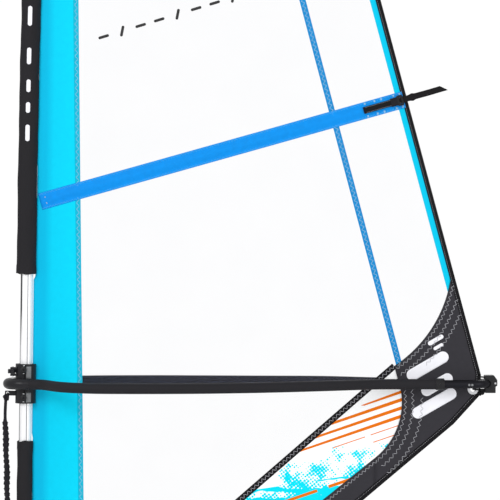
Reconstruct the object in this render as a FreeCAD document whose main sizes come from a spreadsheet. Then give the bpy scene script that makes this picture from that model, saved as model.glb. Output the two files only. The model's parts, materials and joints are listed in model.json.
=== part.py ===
import FreeCAD, Part
import math
import os

# Windsurf sail rig, millimetres. +Z up, +X from the mast towards the clew, -Y is the near side.
# The origin is the centre of the deck pad's underside. The mast leans aft by a small rake.

Vector = FreeCAD.Vector
Rotation = FreeCAD.Rotation
Placement = FreeCAD.Placement

os.makedirs("parts", exist_ok=True)
doc = FreeCAD.newDocument("SailRig")
sheet = doc.addObject("Spreadsheet::Sheet", "Sizes")

DIMENSIONS = {
    "rake_degrees": 0.68,
    "mast_outer_diameter": 38,
    "mast_wall": 2,
    "mast_foot_height": 150,
    "mast_joint_height": 1800,
    "mast_top_height": 3610,
    "mast_bend_radius": 52000,
    "ferrule_diameter": 33.2,
    "ferrule_half_length": 120,
    "sleeve_wall": 1.6,
    "lower_sleeve_diameter": 45,
    "lower_sleeve_bottom": 330,
    "luff_opening_bottom": 1220,
    "luff_opening_top": 1717,
    "upper_sleeve_width": 57,
    "upper_sleeve_depth": 48,
    "upper_sleeve_lead": 2.3,
    "upper_sleeve_top": 3560,
    "film_thickness": 0.8,
    "cloth_thickness": 1.2,
    "patch_thickness": 2.4,
    "tape_thickness": 2.0,
    "seam_thickness": 0.6,
    "pocket_width": 51,
    "pocket_depth": 6,
    "pocket_slope_degrees": 15.7,
    "lower_pocket_rise": 1918,
    "upper_pocket_rise": 2793,
    "batten_width": 14,
    "batten_depth": 3.6,
    "strap_width": 20,
    "strap_thickness": 1.6,
    "boom_height": 1390,
    "boom_grip_diameter": 31,
    "boom_arm_diameter": 28,
    "boom_arm_bore": 25.4,
    "tail_tube_diameter": 25,
    "tail_tube_wall": 1.5,
    "tail_half_spacing": 42,
    "head_ring_radius": 52,
    "head_ring_diameter": 32,
    "clamp_height": 118,
    "clamp_outer_radius": 31,
    "liner_outer_radius": 22.2,
    "liner_bore_radius": 19.05,
    "clamp_slit": 7,
    "hinge_pin_radius": 3,
    "hinge_pin_clearance": 0.05,
    "grommet_outer_radius": 16.5,
    "grommet_bore_radius": 8.5,
    "line_diameter": 5,
    "uphaul_rope_diameter": 10,
    "uphaul_elastic_diameter": 20,
    "deck_plate_radius": 55,
    "deck_plate_thickness": 12,
    "deck_pad_thickness": 3,
    "deck_stud_radius": 4,
    "deck_stud_length": 24,
    "joint_pin_radius": 4,
    "sheave_radius": 11,
    "tail_sheave_radius": 8,
    "sheave_bore_radius": 3,
}

for row, (alias, value) in enumerate(DIMENSIONS.items(), start=1):
    sheet.set(f"A{row}", alias)
    sheet.set(f"B{row}", str(value))
    sheet.setAlias(f"B{row}", alias)
doc.recompute()

nodes = {}


def size(alias):
    return float(sheet.get(alias))


def bind(obj, **expressions):
    for name, expression in expressions.items():
        obj.setExpression(name, expression)
    return obj


def keep(obj, label):
    """Give a finished sub-part its name."""
    obj.Label = label
    nodes[label] = obj
    return obj


def feature(label, shape, placement=None):
    obj = doc.addObject("Part::Feature", label)
    obj.Shape = shape
    if placement is not None:
        obj.Placement = placement
    return keep(obj, label)


RAKE = math.radians(size("rake_degrees"))


def mast_frame(along, turn=0.0):
    """Placement on the mast's centre line, `along` mm up from the origin, with local Z along the mast."""
    straight = min(along, size("mast_joint_height"))
    bend = (along - straight) / size("mast_bend_radius")
    aft = size("mast_bend_radius") * (1 - math.cos(bend))
    up = straight + size("mast_bend_radius") * math.sin(bend)
    place = Vector(
        up * math.sin(RAKE) + aft * math.cos(RAKE), 0, up * math.cos(RAKE) - aft * math.sin(RAKE)
    )
    tilt = Rotation(Vector(0, 1, 0), math.degrees(RAKE + bend))
    return Placement(place, tilt.multiply(Rotation(Vector(0, 0, 1), turn)))


def mast_x(height):
    """X of the mast's centre line at a height."""
    return mast_frame(height / math.cos(RAKE)).Base.x


# ---------------------------------------------------------------- primitive helpers


def cylinder(name, radius, height, placement):
    obj = doc.addObject("Part::Cylinder", name)
    bind(obj, Radius=radius, Height=height)
    obj.Placement = placement
    return obj


def box(name, length, width, height, placement):
    obj = doc.addObject("Part::Box", name)
    bind(obj, Length=length, Width=width, Height=height)
    obj.Placement = placement
    return obj


def cut(label, base, *tools):
    obj = doc.addObject("Part::Cut", label)
    obj.Base = base
    obj.Tool = tools[0] if len(tools) == 1 else fuse(label + "_tools", *tools)
    return obj


def fuse(label, *shapes):
    obj = doc.addObject("Part::MultiFuse", label)
    obj.Shapes = list(shapes)
    return obj


def at(x=0.0, y=0.0, z=0.0, axis=None, degrees=0.0):
    return Placement(Vector(x, y, z), Rotation(axis or Vector(0, 0, 1), degrees))


def rounded(shape, radius):
    """Fillet every edge of a plain block."""
    return shape.makeFillet(radius, shape.Edges)


def block(x0, x1, y0, y1, z0, z1, radius=0.0):
    shape = Part.makeBox(x1 - x0, y1 - y0, z1 - z0, Vector(x0, y0, z0))
    return rounded(shape, radius) if radius else shape


def rod(radius, start, end):
    span = Vector(*end) - Vector(*start)
    return Part.makeCylinder(radius, span.Length, Vector(*start), span)


def ring_of(outer, inner, height, base):
    low = Vector(*base)
    return Part.makeCylinder(outer, height, low).cut(Part.makeCylinder(inner, height, low))


# ---------------------------------------------------------------- flat panels in the sail's plane


def sketch_on(body, role, name):
    sketch = body.newObject("Sketcher::SketchObject", name)
    plane = [f for f in body.Origin.OriginFeatures if f.Role == role][0]
    sketch.AttachmentSupport = (plane, [""])
    sketch.MapMode = "FlatFace"
    return sketch


def draw(sketch, outline):
    """Closed outline of (x, z) points; a pair (middle, end) of points is an arc through middle to end."""
    here = outline[0]
    for step in outline[1:] + [outline[0]]:
        if isinstance(step[0], tuple):
            middle, end = step
            arc = Part.Arc(Vector(*here, 0), Vector(*middle, 0), Vector(*end, 0))
            sketch.addGeometry(arc)
        elif step != here:
            end = step
            sketch.addGeometry(Part.LineSegment(Vector(*here, 0), Vector(*end, 0)))
        here = end


def panel(label, outline, thickness, hole=None):
    """A flat sail panel with any round hole (x, z, radius), padded both ways from the sail's plane."""
    body = doc.addObject("PartDesign::Body", label)
    sketch = sketch_on(body, "XZ_Plane", label + "_outline")
    draw(sketch, outline)
    if hole:
        sketch.addGeometry(Part.Circle(Vector(hole[0], hole[1], 0), Vector(0, 0, 1), hole[2]))
    pad = body.newObject("PartDesign::Pad", label + "_pad")
    pad.Profile = sketch
    pad.setExpression("Length", "Sizes." + thickness)
    pad.Midplane = True
    return keep(body, label)


def layer(label, outline, backing, thickness):
    """A tape sewn on the near face of a panel of the backing thickness; unnamed until it is kept."""
    body = doc.addObject("PartDesign::Body", label)
    sketch = sketch_on(body, "XZ_Plane", label + "_outline")
    sketch.AttachmentOffset = at(z=size(backing) / 2)
    draw(sketch, outline)
    pad = body.newObject("PartDesign::Pad", label + "_pad")
    pad.Profile = sketch
    pad.setExpression("Length", "Sizes." + thickness)
    return body


# ---------------------------------------------------------------- lines of the sail plan

LEECH_LOW = (1382.0, 1415.0)
LEECH_HIGH = (931.0, 3100.0)
HEAD = (112.0, 3590.0)
HEAD_MIDDLE = (612.0, 3400.0)
CLEW_LOW = (1379.0, 1355.0)
GROMMET = (1358.0, 1373.0)
FOOT_HIGH = (1300.0, 1268.0)
FOOT_KNEE = (400.0, 509.0)
TACK = (56.0, 262.0)
LUFF_SEAM_X = 174.6
LUFF_SEAM_Z = 2525.0
LUFF_SEAM_LEAN = -0.0102
FOOT_SEAM_POINT = (1031.0, 1367.0)
FOOT_SEAM_RISE = 0.872
SEAM_POINT = (1005.6, 1940.0)
SEAM_LEAN = -0.2652
POCKET_RISE = math.tan(math.radians(size("pocket_slope_degrees")))
LEECH_LEAN = (LEECH_HIGH[0] - LEECH_LOW[0]) / (LEECH_HIGH[1] - LEECH_LOW[1])
TAPE = 15.0
STRIP = 17.0
ARC_TIP_Z = 1700.0
ARC_MIDDLE = (1230.0, 1549.0)
ARC_END = (1122.0, 1442.0)
GRAPHIC_CORNER = (1142.0, 1367.0)
GRAPHIC_MIDDLE = (1134.0, 1265.0)
GRAPHIC_LOW = (1064.0, 1166.0)
PATCH_BAND = 106.0
PATCH_END = (330.0, 548.0)


def leech_x(height, inset=0.0):
    return LEECH_LOW[0] + LEECH_LEAN * (height - LEECH_LOW[1]) - inset * 1.035


ARC_TIP = (leech_x(ARC_TIP_Z, TAPE), ARC_TIP_Z)


def luff_seam_x(height):
    return LUFF_SEAM_X + LUFF_SEAM_LEAN * (height - LUFF_SEAM_Z)


def seam_x(height):
    return SEAM_POINT[0] + SEAM_LEAN * (height - SEAM_POINT[1])


def foot_z(x):
    """Height of the sail's lower edge."""
    low, high = (TACK, FOOT_KNEE) if x < FOOT_KNEE[0] else (FOOT_KNEE, FOOT_HIGH)
    return low[1] + (high[1] - low[1]) * (x - low[0]) / (high[0] - low[0])


def foot_seam_z(x):
    return FOOT_SEAM_POINT[1] + FOOT_SEAM_RISE * (x - FOOT_SEAM_POINT[0])


def pocket_z(alias, x):
    """Height of a batten pocket's centre line."""
    return size(alias) + POCKET_RISE * x


def crossing(x_of, z_of, height):
    """Where a steep line x_of(z) meets a sloping line z_of(x), by repeated substitution."""
    for _ in range(30):
        x = x_of(height)
        height = z_of(x)
    return (x, height)


def upper_pocket_z(x):
    return pocket_z("upper_pocket_rise", x)


def sleeve_rear_x(height):
    return mast_x(height) + size("upper_sleeve_width") / 2 - size("upper_sleeve_lead")


def opening_rear_x(height):
    return mast_x(height) + size("mast_outer_diameter") / 2 + 1


def lower_rear_x(height):
    return mast_x(height) + size("lower_sleeve_diameter") / 2


# ---------------------------------------------------------------- mast


SHEAVE_X = 50.0
TACK_SHEAVE_Z = 213.0
FOOT_SHEAVE_Z = 135.0


def straight_tube(label, outer, wall, start, end):
    place = mast_frame(start)
    length = f"{end} - {start}"
    outside = cylinder(label + "_outside", f"{outer} / 2", length, place)
    inside = cylinder(label + "_inside", f"{outer} / 2 - {wall}", length, place)
    return keep(cut(label, outside, inside), label)


def curved_tube(outer, inner, end):
    """Turn a ring-shaped section, drawn level at the mast joint, about the bend's centre up to `end`."""
    radius = size("mast_bend_radius")
    angle = math.degrees((end - size("mast_joint_height")) / radius)
    turned = [
        Part.Face(wire).revolve(Vector(radius, 0, 0), Vector(0, 1, 0), angle) for wire in (outer, inner)
    ]
    return turned[0].cut(turned[1])


def make_mast():
    straight_tube(
        "mast_lower_tube",
        "Sizes.mast_outer_diameter",
        "Sizes.mast_wall",
        size("mast_foot_height"),
        size("mast_joint_height"),
    )
    radius = size("mast_outer_diameter") / 2
    outer = Part.Wire(Part.makeCircle(radius))
    inner = Part.Wire(Part.makeCircle(radius - size("mast_wall")))
    upper = curved_tube(outer, inner, size("mast_top_height"))
    feature("mast_upper_tube", upper, mast_frame(size("mast_joint_height")))
    half = size("ferrule_half_length")
    straight_tube(
        "mast_ferrule",
        "Sizes.ferrule_diameter",
        "Sizes.mast_wall",
        size("mast_joint_height") - half,
        size("mast_joint_height") + half,
    )
    plug = Part.makeCylinder(radius - size("mast_wall") - 0.2, 40, Vector(0, 0, -40))
    crown = Part.makeCylinder(radius + 1.5, 14)
    crown = crown.makeFillet(5, [crown.Edges[0]])
    feature("mast_top_plug", plug.fuse(crown).removeSplitter(), mast_frame(size("mast_top_height")))
    strap = block(-34, 34, -9, 9, -48, 20, 4).cut(block(-31, 31, -10, 10, -50, 17))
    strap.Placement = mast_frame(size("mast_top_height"))
    x = SHEAVE_X
    z = TACK_SHEAVE_Z
    leaves = [block(x - 11, x + 11, side, side + 1.6, z + 21, z + 116) for side in (-2.9, 1.3)]
    feature("corner_straps", Part.makeCompound([strap] + leaves))


def make_sleeves():
    straight_tube(
        "luff_sleeve_lower",
        "Sizes.lower_sleeve_diameter",
        "Sizes.sleeve_wall",
        size("lower_sleeve_bottom"),
        size("luff_opening_bottom"),
    )
    half_width = size("upper_sleeve_width") / 2
    half_depth = size("upper_sleeve_depth") / 2
    wall = size("sleeve_wall")
    centre = Vector(-size("upper_sleeve_lead"), 0, 0)
    outer = Part.Wire(Part.Ellipse(centre, half_width, half_depth).toShape())
    inner = Part.Wire(Part.Ellipse(centre, half_width - wall, half_depth - wall).toShape())
    below = Vector(0, 0, size("luff_opening_top") - size("mast_joint_height"))
    straight = Part.Face(outer).extrude(below).cut(Part.Face(inner).extrude(below))
    curved = curved_tube(outer, inner, size("upper_sleeve_top"))
    feature("luff_sleeve_upper", straight.fuse(curved), mast_frame(size("mast_joint_height")))


# ---------------------------------------------------------------- sail panels


def luff_edge(heights, rear_x):
    return [(rear_x(height), height) for height in heights]


def make_panels():
    bottom = size("luff_opening_bottom") + 12
    top = size("luff_opening_top") - 6
    tack_right = (luff_seam_x(495), 495.0)
    seam_foot = crossing(luff_seam_x, foot_seam_z, 650.0)
    seam_top = crossing(luff_seam_x, upper_pocket_z, 2850.0)
    luff_top_x = sleeve_rear_x(2810)
    luff_top = (luff_top_x, upper_pocket_z(luff_top_x))
    middles = luff_edge([2100.0, 2450.0], sleeve_rear_x)
    luff = [
        (lower_rear_x(600), 600.0),
        tack_right,
        seam_foot,
        seam_top,
        luff_top,
        *reversed(middles),
        (sleeve_rear_x(top), top),
        (opening_rear_x(top), top),
        (opening_rear_x(bottom), bottom),
        (lower_rear_x(bottom), bottom),
    ]
    panel("luff_panel", luff, "cloth_thickness")

    seam_head = crossing(seam_x, upper_pocket_z, 3000.0)
    seam_clew = arc_point(seam_x)
    front = [
        seam_foot,
        ARC_END,
        (arc_between(ARC_END, seam_clew), seam_clew),
        seam_head,
        seam_top,
    ]
    panel("window_front", front, "film_thickness")

    rear_top = crossing(lambda z: leech_x(z, TAPE + STRIP), upper_pocket_z, 3050.0)
    strip_low = arc_point(lambda z: leech_x(z, TAPE + STRIP))
    rear = [seam_clew, (arc_between(seam_clew, strip_low), strip_low), rear_top, seam_head]
    panel("window_rear", rear, "film_thickness")

    strip_top = crossing(lambda z: leech_x(z, TAPE), upper_pocket_z, 3050.0)
    strip = [strip_low, (arc_between(strip_low, ARC_TIP), ARC_TIP), strip_top, rear_top]
    panel("leech_strip", strip, "cloth_thickness")

    head_inner = (HEAD[0] + 8, HEAD[1] - 22)
    middle_inner = (HEAD_MIDDLE[0] - 6, HEAD_MIDDLE[1] - 16)
    high_inner = (LEECH_HIGH[0] - TAPE * 1.035, LEECH_HIGH[1])
    head = [
        luff_top,
        strip_top,
        high_inner,
        (middle_inner, head_inner),
        (sleeve_rear_x(3540), 3540.0),
        (sleeve_rear_x(3200), 3200.0),
    ]
    panel("head_panel", head, "cloth_thickness")
    tape = [
        LEECH_LOW,
        LEECH_HIGH,
        (HEAD_MIDDLE, HEAD),
        head_inner,
        (middle_inner, high_inner),
        (leech_x(LEECH_LOW[1], TAPE), LEECH_LOW[1]),
    ]
    panel("leech_tape", tape, "tape_thickness")
    return seam_foot, seam_top, seam_head, seam_clew, tack_right


def circle_through(first, middle, last):
    """Centre and radius of the circle through three points."""
    curve = Part.Arc(Vector(*first, 0), Vector(*middle, 0), Vector(*last, 0)).toShape().Curve
    return curve.Center, curve.Radius


def arc_point(x_of):
    """Where a steep line meets the clew patch's concave edge, by halving."""
    centre, radius = circle_through(ARC_TIP, ARC_MIDDLE, ARC_END)
    low, high = ARC_END[1], ARC_TIP[1]
    for _ in range(40):
        middle = (low + high) / 2
        outside = (Vector(x_of(middle), middle, 0) - centre).Length > radius
        low, high = (low, middle) if not outside else (middle, high)
    return (x_of(low), low)


def arc_between(first, last):
    """The point of the clew patch's concave edge half way between two of its points."""
    centre, radius = circle_through(ARC_TIP, ARC_MIDDLE, ARC_END)
    middle = (Vector(*first, 0) + Vector(*last, 0)) / 2 - centre
    spot = centre + middle.normalize() * radius
    return (spot.x, spot.y)


def make_lower_panels(seam_foot, tack_right):
    foot_inset = TAPE * 1.3
    patch_low = (GRAPHIC_LOW[0], foot_z(GRAPHIC_LOW[0]) + foot_inset)
    patch_top = (PATCH_END[0], foot_z(PATCH_END[0]) + PATCH_BAND + 10)
    knee_inner = (FOOT_KNEE[0], FOOT_KNEE[1] + foot_inset)
    tack_inner = (PATCH_END[0], foot_z(PATCH_END[0]) + foot_inset)
    graphic = [
        ARC_END,
        GRAPHIC_CORNER,
        (GRAPHIC_MIDDLE, GRAPHIC_LOW),
        patch_top,
        tack_right,
        seam_foot,
    ]
    panel("foot_panel", graphic, "cloth_thickness")
    panel("foot_patch", [GRAPHIC_LOW, patch_low, knee_inner, tack_inner, patch_top], "patch_thickness")
    tack = [
        (lower_rear_x(600), 600.0),
        (lower_rear_x(300), 300.0),
        (TACK[0], TACK[1] + foot_inset),
        tack_inner,
        patch_top,
        tack_right,
    ]
    panel("tack_patch", tack, "patch_thickness")
    clew_inner = (leech_x(LEECH_LOW[1], TAPE), LEECH_LOW[1])
    clew_corner = (CLEW_LOW[0] - 9, CLEW_LOW[1] + 4)
    foot_corner = (FOOT_HIGH[0] - 6, foot_z(FOOT_HIGH[0] - 6) + foot_inset)
    clew = [
        ARC_TIP,
        clew_inner,
        clew_corner,
        foot_corner,
        patch_low,
        GRAPHIC_LOW,
        (GRAPHIC_MIDDLE, GRAPHIC_CORNER),
        ARC_END,
        (ARC_MIDDLE, ARC_TIP),
    ]
    hole = (*GROMMET, size("grommet_bore_radius") + 2)
    panel("clew_patch", clew, "patch_thickness", hole)
    tape = [
        LEECH_LOW,
        CLEW_LOW,
        FOOT_HIGH,
        FOOT_KNEE,
        TACK,
        (TACK[0], TACK[1] + foot_inset),
        knee_inner,
        foot_corner,
        clew_corner,
        clew_inner,
    ]
    panel("foot_tape", tape, "tape_thickness")


def strip_outline(low, high, low_half, high_half=None):
    """A strip of a given half width between two points, level ends."""
    high_half = high_half or low_half
    return [
        (low[0] - low_half, low[1]),
        (low[0] + low_half, low[1]),
        (high[0] + high_half, high[1]),
        (high[0] - high_half, high[1]),
    ]


def make_seams(seam_foot, seam_top, seam_head, seam_clew):
    clear_of_arc = seam_clew[1] + 12
    seam = strip_outline((seam_x(clear_of_arc), clear_of_arc), seam_head, 9.3)
    across_film = layer("seam_strip", seam, "film_thickness", "seam_thickness")
    luff_tape = strip_outline((luff_seam_x(515) - 8, 515.0), (seam_top[0] - 8, seam_top[1]), 8)
    along_luff = layer("luff_seam_tape", luff_tape, "cloth_thickness", "seam_thickness")
    rise = 12.0
    foot_tape = [
        (seam_foot[0] + 0.5, seam_foot[1] - rise),
        (ARC_END[0], ARC_END[1] - rise),
        (ARC_END[0] - 8, ARC_END[1] + rise - 5),
        (seam_foot[0] + 0.5, seam_foot[1] + rise),
    ]
    along_foot = layer("foot_seam_tape", foot_tape, "cloth_thickness", "seam_thickness")
    keep(fuse("seam_tapes", along_luff, along_foot, across_film), "seam_tapes")


# ---------------------------------------------------------------- battens

POCKETS = {"lower": (60.0, 1150.0), "upper": (80.0, 915.0)}


def sloped(alias, x, y, across):
    """Placement along a batten pocket, with the piece's lower edge `across` mm from the centre line."""
    slope = size("pocket_slope_degrees")
    turn = Rotation(Vector(0, 1, 0), -slope)
    base = Vector(x, y, pocket_z(alias, x)) + turn.multVec(Vector(0, 0, across))
    return Placement(base, turn)


def pocket_face():
    """Y of the pockets' back faces, which lie on the seam tapes."""
    return -size("cloth_thickness") / 2 - size("seam_thickness") - 0.1


def make_batten(which):
    """One pocket with its batten, from the luff sleeve's rear to near the leech."""
    start_x, end_x = POCKETS[which]
    alias = f"{which}_pocket_rise"
    slope = math.radians(size("pocket_slope_degrees"))
    length = (end_x - start_x) / math.cos(slope)
    face = pocket_face()
    depth = size("pocket_depth")
    half = size("pocket_width") / 2
    outside = box(
        f"batten_pocket_{which}_outside",
        str(length),
        "Sizes.pocket_depth",
        "Sizes.pocket_width",
        sloped(alias, start_x, face - depth, -half),
    )
    room = 0.4
    batten_face = face - depth / 2 - size("batten_depth") / 2
    batten_edge = -size("batten_width") / 2
    inside = box(
        f"batten_pocket_{which}_inside",
        f"{length} - 6",
        f"Sizes.batten_depth + {2 * room}",
        f"Sizes.batten_width + {2 * room}",
        sloped(alias, start_x + 12, batten_face - room, batten_edge - room),
    )
    pocket = cut(f"batten_pocket_{which}", outside, inside)
    batten = box(
        f"batten_{which}",
        f"{length} - 30",
        "Sizes.batten_depth",
        "Sizes.batten_width",
        sloped(alias, start_x + 16, batten_face, batten_edge),
    )
    return pocket, batten


def make_battens():
    lower_pocket, lower_batten = make_batten("lower")
    upper_pocket, upper_batten = make_batten("upper")
    keep(fuse("batten_pockets", lower_pocket, upper_pocket), "batten_pockets")
    keep(fuse("battens", lower_batten, upper_batten), "battens")


def make_batten_ends():
    """Tension straps with their buckles where each batten meets the leech, and the battens' end caps."""
    front_face = pocket_face() - size("pocket_depth")
    straps = []
    buckles = []
    caps = []
    thick = size("strap_thickness")
    width = size("strap_width")
    for which, height in (("lower", 2237.0), ("upper", 3070.0)):
        alias = f"{which}_pocket_rise"
        edge = leech_x(height)
        front = sloped(alias, edge - 124, front_face - thick - 0.1, -width / 2)
        tail = sloped(alias, edge - 14, front_face - thick - 0.1, -width / 2)
        reach = Part.makeBox(94, thick, width)
        reach.Placement = front
        hang = Part.makeBox(112, thick, width)
        hang.Placement = tail
        straps.extend([reach, hang])
        frame = block(0, 17, 0, 5, 0, width + 12, 1.5).cut(block(5, 12, -1, 6, 5, width + 7))
        frame.Placement = sloped(alias, edge - 31, front_face - 5.2, -width / 2 - 6)
        buckles.append(frame)
        cap = block(0, 10, 0, 5, 0, size("batten_width") + 6, 1.2)
        cap_edge = -size("batten_width") / 2 - 3
        cap.Placement = sloped(alias, edge - 12, -size("tape_thickness") / 2 - 6, cap_edge)
        caps.append(cap)
    feature("batten_straps", Part.makeCompound(straps))
    feature("batten_buckles", Part.makeCompound(buckles))
    feature("batten_end_caps", Part.makeCompound(caps))


# ---------------------------------------------------------------- routes of cords and bent tubes


def route(points, tightest=0.0, radii=None):
    """Straight runs joined by tangent arcs; each arc is as large as 0.45 of its shorter run allows."""
    spots = [Vector(*p) for p in points]
    edges = []
    used = []
    start = spots[0]
    for index in range(1, len(spots) - 1):
        before = spots[index] - spots[index - 1]
        after = spots[index + 1] - spots[index]
        turn = before.getAngle(after)
        reach = 0.45 * min(before.Length, after.Length)
        radius = reach / math.tan(turn / 2)
        if radii and index in radii:
            radius = radii[index]
            reach = radius * math.tan(turn / 2)
        used.append(radius)
        entry = spots[index] - before.normalize() * reach
        leave = spots[index] + after.normalize() * reach
        across = (entry + leave) / 2 - spots[index]
        gap = radius / math.cos(turn / 2) - radius
        middle = spots[index] + across.normalize() * gap
        edges.append(Part.LineSegment(start, entry).toShape())
        edges.append(Part.Arc(entry, middle, leave).toShape())
        start = leave
    edges.append(Part.LineSegment(start, spots[-1]).toShape())
    if used and tightest:
        print(f"radii {min(used):.0f} to {max(used):.0f} mm, tightest allowed {tightest:.0f}")
    return Part.Wire(edges)


def swept(path, radius, bore=0.0):
    """A round tube along a path, its volume compared with section times length."""
    start = path.Edges[0].valueAt(path.Edges[0].FirstParameter)
    toward = path.Edges[0].tangentAt(path.Edges[0].FirstParameter)
    outer = Part.Wire(Part.makeCircle(radius, start, toward))
    shape = path.makePipeShell([outer], True, False)
    expected = math.pi * radius ** 2 * path.Length
    if bore:
        inner = Part.Wire(Part.makeCircle(bore, start, toward))
        shape = shape.cut(path.makePipeShell([inner], True, False))
        expected -= math.pi * bore ** 2 * path.Length
    print(f"swept volume {shape.Volume:.0f}, section times length {expected:.0f} mm3")
    return shape


def mirrored(points):
    return [(x, -y, z) for x, y, z in points]


# ---------------------------------------------------------------- boom

CLAMP_CENTRE = (mast_x(size("boom_height")), 0.0, size("boom_height"))
SOCKET = 14.0
TAIL_START_X = 1128.0
ARM_END_X = 1242.0
TAIL_BEND_X = 1359.0
FITTING = (1392.0, 1429.0)
TAIL_WHEEL = (1423.0, 1391.0)


def arm_route():
    """The near arm's centre line: out from the head, round the sail's belly, then parallel to the tail."""
    level = size("boom_height")
    ring = size("head_ring_radius")
    close = size("tail_half_spacing")
    return [
        (CLAMP_CENTRE[0] + SOCKET + 1.7, -ring, level),
        (70, -56, level),
        (140, -158, level - 2),
        (235, -194, level - 3),
        (400, -202, level - 3),
        (560, -190, level - 3),
        (745, -160, level - 2),
        (905, -122, level),
        (1070, -close, level),
        (ARM_END_X, -close, level),
    ]


def make_arms():
    path = route(arm_route(), 60, {1: 60, 8: 130})
    grip_radius = size("boom_grip_diameter") / 2
    arm_radius = size("boom_arm_diameter") / 2
    far = route(mirrored(arm_route()), 60, {1: 60, 8: 130})
    for side, line in (("near", path), ("far", far)):
        tube = swept(line, arm_radius, size("boom_arm_bore") / 2)
        feature(f"boom_arm_{side}", tube)
        grip = swept(line, grip_radius, arm_radius)
        feature(f"boom_grip_{side}", grip)
    level = size("boom_height")
    collars = []
    buttons = []
    for sign in (-1, 1):
        y = sign * size("tail_half_spacing")
        collar = rod(17.5, (ARM_END_X, y, level), (ARM_END_X + 26, y, level))
        collar = collar.makeFillet(2.5, [collar.Edges[0], collar.Edges[2]])
        bore = size("tail_tube_diameter") / 2 + 0.08
        hole = rod(bore, (ARM_END_X - 1, y, level), (ARM_END_X + 28, y, level))
        middle = ARM_END_X + 13
        socket = rod(3.4, (middle, y + sign * 15, level), (middle, y + sign * 24, level))
        collars.append(collar.cut(hole).cut(socket))
        buttons.append(rod(3.4, (middle, y + sign * 15, level), (middle, y + sign * 20, level)))
    feature("boom_collars", Part.makeCompound(collars + buttons))


def make_head():
    """The half ring that carries both arms round the front of the mast clamp, with its trunnion bosses."""
    ring = size("head_ring_radius")
    radius = size("head_ring_diameter") / 2
    centre = Vector(*CLAMP_CENTRE)
    profile = Part.Face(Part.Wire(Part.makeCircle(radius, centre + Vector(0, -ring, 0), Vector(1, 0, 0))))
    half = profile.revolve(centre, Vector(0, 0, 1), -180)
    sockets = []
    for y in (-ring, ring):
        sockets.append(rod(radius, (centre.x, y, centre.z), (centre.x + SOCKET, y, centre.z)))
    shape = half.fuse(sockets)
    for sign in (-1, 1):
        low = (centre.x, sign * 20, centre.z)
        high = (centre.x, sign * (ring + 1), centre.z)
        shape = shape.cut(rod(6.05, low, high))
    feature("boom_head", shape.removeSplitter())


def tail_path(level, half):
    """The tail's centre line: both legs and the half ring round the clew."""
    middle = Vector(TAIL_BEND_X + half, 0, level)
    near = Vector(TAIL_BEND_X, -half, level)
    far = Vector(TAIL_BEND_X, half, level)
    arc = Part.Arc(near, middle, far).toShape()
    near_leg = Part.LineSegment(Vector(TAIL_START_X, -half, level), near).toShape()
    far_leg = Part.LineSegment(far, Vector(TAIL_START_X, half, level)).toShape()
    return Part.Wire([near_leg, arc, far_leg])


def make_tail():
    level = size("boom_height")
    half = size("tail_half_spacing")
    radius = size("tail_tube_diameter") / 2
    feature("tail_tube", swept(tail_path(level, half), radius, radius - size("tail_tube_wall")))
    front, back = FITTING
    tube_end = TAIL_BEND_X + half + radius
    outline = [
        (front, level - 28),
        (back - 5, level - 28),
        (back - 5, level - 9),
        (back, level - 6),
        (back, level + 11),
        (back - 10, level + 25),
        (front, level + 25),
        (front, level - 28),
    ]
    side = Part.Face(Part.makePolygon([Vector(x, -19, z) for x, z in outline]))
    cheeks = rounded(side.extrude(Vector(0, 38, 0)), 2)
    bend = Part.makeTorus(half, radius + 0.1, Vector(TAIL_BEND_X, 0, level), Vector(0, 0, 1))
    slot = block(tube_end - 0.6, back + 9, -5.2, 5.2, level - 10, level + 21)
    channel = block(front - 9, tube_end, -5.2, 15, level + 10, level + 21)
    wheel_x, wheel_z = TAIL_WHEEL
    hole_radius = size("sheave_bore_radius")
    axle_hole = rod(hole_radius, (wheel_x, -30, wheel_z), (wheel_x, 30, wheel_z))
    feature("tail_fitting", cheeks.cut(bend).cut(slot).cut(channel).cut(axle_hole))
    feature("tail_axle", rod(hole_radius, (wheel_x, -19.5, wheel_z), (wheel_x, 19.5, wheel_z)))
    feature("tail_sheave", sheave(wheel_x, 0, wheel_z, size("tail_sheave_radius")))
    feature("outhaul_cleat", outhaul_cleat(level))
    outhaul(level, front)


def outhaul_cleat(level):
    """The line cleat on the far tail leg: a saddle with two jaws that grip the line between them."""
    y = size("tail_half_spacing")
    saddle = block(1286, 1314, y - 9, y + 9, level + 6, level + 15.5, 1.2)
    jaws = [block(1289, 1311, y + side, y + side + 4.4, level + 14, level + 23, 1.2) for side in (-7.4, 3)]
    leg = rod(size("tail_tube_diameter") / 2 + 0.02, (1280, y, level), (1320, y, level))
    return saddle.fuse(jaws).removeSplitter().cut(leg)


def outhaul(level, front):
    """Outhaul: through the clew grommet on both sides of the sail, and from the sheave to the cleat."""
    radius = size("line_diameter") / 2
    x, z = GROMMET
    side = 13.0
    clew_line = [
        (front - 0.6, -side, z - 2),
        (front - 10, -side, z - 2),
        (x + 12, -side - 1, z - 1),
        (x, -9, z),
        (x, 9, z),
        (x + 12, side + 1, z - 1),
        (front - 10, side, z - 2),
        (front - 0.6, side, z - 2),
    ]
    feature("outhaul_clew_line", swept(route(clew_line, 4), radius))
    y = size("tail_half_spacing")
    top = level + 18.5
    cleat_line = [
        (TAIL_WHEEL[0] + 3, 0, TAIL_WHEEL[1] + 8.1),
        (1406, 2, level + 16.4),
        (1390, 8, top),
        (1362, 32, top),
        (1335, y, top),
        (1284, y, level + 18.4),
    ]
    feature("outhaul_cleat_line", swept(route(cleat_line, 4), radius))


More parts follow.
